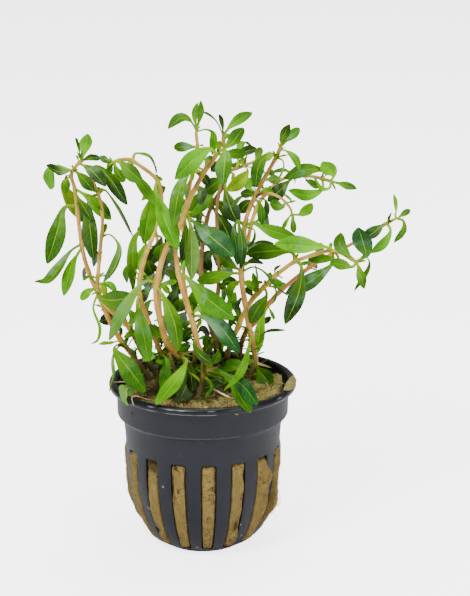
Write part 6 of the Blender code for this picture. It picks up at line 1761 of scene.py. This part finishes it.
def make_pot_look(groups):
    """Dark slate moulded plastic: satin walls, a glossier lip darkened by painted shade, painted
    highlight lines round lip and shoulder, dust and fine scratches.
    """
    material, tree, shader, place = new_material("slate_moulded_plastic", 0.26)
    height = tree.add("ShaderNodeSeparateXYZ", {"Vector": place}).outputs["Z"]
    mottle = tree.use(groups["mottle"], Place=place, Scale=120.0)
    fine = tree.use(groups["mottle"], Place=place, Scale=900.0)
    dust = tree.use(groups["specks"], Place=place, Scale=620.0, Share=0.02)
    drawn = tree.drawn_out(place, (1, 1, 0.05), (0.3, 0.2, 0.4))
    scratch = tree.ramp(tree.noise(drawn, 1400.0, 1.0), 0.72, 0.78)
    # The lip mask makes the lip glossier and paints it darker; the darker colour is painted shade,
    # a dark reflection on the lip
    lip = tree.ramp(height, *(up * MM for up in LIP_SHADE_AND_GLOSS_FADE))
    colour = tree.mix(mottle["Patches"], (0.0034, 0.0043, 0.0080), (0.0064, 0.0076, 0.0124))
    colour = tree.layers(
        colour,
        (fine["Grain"], 0.35, (0.0115, 0.013, 0.0185)),
        (tree.fade(height, 0.0, 14 * MM), 0.4, (0.012, 0.013, 0.018)),
        # painted shade: the lip darker than the rest of the same plastic
        (lip, 1.0, (0.0030, 0.0034, 0.0052)),
    )
    # Painted highlights: thin broken pale lines along the lip's edges and the shoulder, standing in
    # for reflections of the lamps
    for low, high, broken, strength, tint in PAINTED_HIGHLIGHT_LINES:
        line = tree.times(tree.ramp(height, low * MM, (low + LINE_FADE) * MM),
                          tree.fade(height, (high - LINE_FADE) * MM, high * MM))
        highlight_breaks = tree.ramp(tree.noise(place, 95.0, 2.0), broken, broken + 0.08)
        colour = tree.layers(colour, (tree.times(line, highlight_breaks), strength, tint))
    colour = tree.layers(
        colour,
        (scratch, 0.15, (0.10, 0.105, 0.125)),
        (dust["Specks"], 0.5, (0.30, 0.27, 0.22)),
    )
    roughness = tree.ramp(fine["Grain"], 0.0, 1.0, 0.42, 0.56)
    roughness = tree.minus(roughness, tree.times(lip, 0.2))
    relief = tree.plus(tree.times(fine["Grain"], 0.6), mottle["Patches"])
    tree.finish(shader, colour, roughness, relief, 0.05, 0.3)
    return material


def make_wool_look(groups):
    """Golden brown mineral wool: matted fibres, paler strands on top, painted shade in its hollows
    and cracks, and a dark patch of debris and painted shade under the leaves.
    """
    material, tree, shader, place = new_material("matted_rockwool", 0.12)
    matt = tree.use(groups["fibres"], Place=place, Scale=620.0)
    coarse = tree.use(groups["fibres"], Place=place, Scale=240.0)
    grit = tree.use(groups["specks"], Place=place, Scale=900.0, Share=0.10)
    mottle = tree.use(groups["mottle"], Place=place, Scale=170.0)
    up = tree.add("ShaderNodeSeparateXYZ", {"Vector": place}).outputs["Z"]
    side = tree.layers(
        tree.mix(coarse["Wads"], (0.105, 0.067, 0.014), (0.262, 0.178, 0.042)),
        (mottle["Patches"], 0.4, (0.28, 0.188, 0.047)),
        (matt["Fibres"], 0.5, (0.40, 0.28, 0.085)),
        (coarse["Fibres"], 0.3, (0.43, 0.31, 0.10)),
    )
    straw = tree.mix(mottle["Patches"], (0.30, 0.250, 0.066), (0.74, 0.650, 0.190))
    straw = tree.layers(straw, (matt["Fibres"], 0.5, (0.84, 0.74, 0.26)))
    ends = tree.ramp(tree.noise(place, 2100.0, 2.0, 0.7), 0.36, 0.6)
    straw = tree.layers(tree.dyed(straw, (0.46, 0.44, 0.4)), (ends, 0.6, straw))
    top = tree.ramp(up, *(height * MM for height in WOOL_TOP_FADE))
    flat = tree.add("ShaderNodeVectorMath", {0: place, 1: (1, 1, 0)}, operation="MULTIPLY")
    away = tree.add("ShaderNodeVectorMath", {0: flat.outputs[0], 1: SHADE_AND_DEBRIS_MIDDLE * MM},
                    operation="DISTANCE")
    reach = tree.plus(away.outputs["Value"], tree.times(mottle["Grain"], 3.0 * MM))
    debris_and_shade = tree.times(tree.fade(reach, *(radius * MM for radius in SHADE_AND_DEBRIS_FADE)), top)
    colour = tree.layers(
        tree.mix(top, side, straw),
        # dark patch under the leaves: partly debris, partly painted shade
        (debris_and_shade, 0.78, (0.045, 0.034, 0.014)),
        # painted shade: darker where the wool is sunk, in its hollows, grooves and the gap at the
        # wall
        (tree.fade(tree.painted("shift"), -0.7, 0.05), 0.72, (0.085, 0.056, 0.018)),
        # painted shade in the cracks between the wads, coarse and fine
        (coarse["Cracks"], 0.9, (0.035, 0.022, 0.010)),
        (matt["Cracks"], 0.5, (0.07, 0.045, 0.02)),
        (grit["Specks"], 0.6, (0.10, 0.065, 0.03)),
    )
    roughness = tree.ramp(matt["Wads"], 0.0, 1.0, 0.85, 1.0)
    height = tree.plus(matt["Fibres"], tree.times(coarse["Wads"], 1.5))
    height = tree.minus(height, tree.times(coarse["Cracks"], 2.0))
    height = tree.minus(height, matt["Cracks"])
    tree.finish(shader, colour, roughness, height, 0.35, 0.9)
    return material


def make_strand_look(groups):
    """Loose strands and dry stalks, each with its own colour."""
    material, tree, shader, place = new_material("loose_strand", 0.3)
    tint = tree.painted("tint", "Color")
    mottle = tree.use(groups["mottle"], Place=place, Scale=500.0)
    colour = tree.mix(mottle["Patches"], tint, tree.dyed(tint, (0.6, 0.55, 0.5)))
    roughness = tree.ramp(mottle["Grain"], 0.0, 1.0, 0.6, 0.85)
    tree.finish(shader, colour, roughness, mottle["Grain"], 0.08, 0.5)
    return material


def make_looks():
    groups = {"mottle": mottle_group(), "specks": specks_group(), "veins": veins_group(),
              "fibres": fibres_group()}
    return {
        "blade": make_blade_look(groups),
        "underside": make_underside_look(groups),
        "stem": make_stem_look(groups),
        "pot": make_pot_look(groups),
        "wool": make_wool_look(groups),
        "strand": make_strand_look(groups),
    }


def model_blades(looks):
    """The few blades, by kind, that every leaf is copied from, each with its outline."""
    return {kind: (model_blade(f"{kind}_blade", outline, looks), outline)
            for kind, outline in BLADE_OUTLINES.items()}


def lay_floor():
    """A wide pale floor with the plainest of finishes."""
    deselect_all()
    bpy.ops.mesh.primitive_plane_add(size=9.0, location=(0, 1.5, 0))
    floor = bpy.context.object
    floor.name = "pale_floor"
    settle(floor)
    material, tree, shader, place = new_material("pale_floor_paint", 0.1)
    cloud = tree.ramp(tree.noise(place, 3.0, 2.0), 0.3, 0.7)
    tree.feed(shader.inputs["Base Color"], tree.mix(cloud, (0.86, 0.86, 0.86), (0.88, 0.88, 0.88)))
    shader.inputs["Roughness"].default_value = 0.9
    shader.inputs["Emission Color"].default_value = (1, 1, 1, 1)
    seen = tree.add("ShaderNodeLightPath").outputs["Is Camera Ray"]
    tree.feed(shader.inputs["Emission Strength"], tree.times(seen, FLOOR_GLOW))
    floor.data.materials.append(material)


def aimed(name, data, place, aim):
    """Puts a light or the camera at a place, turned to face another."""
    thing = bpy.data.objects.new(name, data)
    bpy.context.scene.collection.objects.link(thing)
    thing.location = place
    thing.rotation_euler = (Vector(aim) - Vector(place)).to_track_quat("-Z", "Y").to_euler()
    return thing


def add_light(name, place, size, power):
    data = bpy.data.lights.new(name, "AREA")
    data.shape = "DISK"
    data.size = size
    data.energy = power
    aimed(name, data, place, LIT_PLACE)


def light_scene():
    """Soft studio light from above and both sides, and a pale surround."""
    world = bpy.context.scene.world or bpy.data.worlds.new("pale_surround")
    bpy.context.scene.world = world
    world.use_nodes = True
    back = world.node_tree.nodes["Background"]
    back.inputs["Color"].default_value = (1.0, 1.0, 1.0, 1.0)
    back.inputs["Strength"].default_value = SURROUND_STRENGTH
    add_light("key_light", (-0.35, -0.55, 0.75), 0.4, 13.0)
    add_light("fill_light", (0.6, -0.5, 0.35), 0.5, 4.5)
    add_light("top_light", (0.1, 0.2, 0.9), 0.5, 9.0)


def set_camera():
    """The camera where the photograph was taken from."""
    data = bpy.data.cameras.new("camera")
    data.sensor_fit = "VERTICAL"
    data.sensor_height = SENSOR_HEIGHT
    data.lens = FOCAL_LENGTH
    bpy.context.scene.camera = aimed("camera", data, Vector(EYE) * MM, AIM * MM)


def main():
    looks = make_looks()
    build_pot(looks["pot"])
    wool = build_wool(looks["wool"])
    build_flap(looks["wool"])
    fibre, rod = model_strand("fibre", 3, 5), model_strand("straw_rod", 8, 12)
    finder = surface_finder(wool)
    rng = random.Random("fibres")
    lay_fibres("slot_fibres", looks, fibre, spots_on_pads(finder, rng), rng)
    lay_fibres("top_fibres", looks, fibre, spots_on_top(finder, rng), rng)
    masters = model_blades(looks)
    build_litter(masters, looks, rod)
    for name, plan in SHOOTS.items():
        build_shoot(name, plan, masters, looks)
    for master in (fibre, rod, *(blade for blade, _ in masters.values())):
        bpy.data.objects.remove(master)
    lay_floor()
    light_scene()
    set_camera()


main()
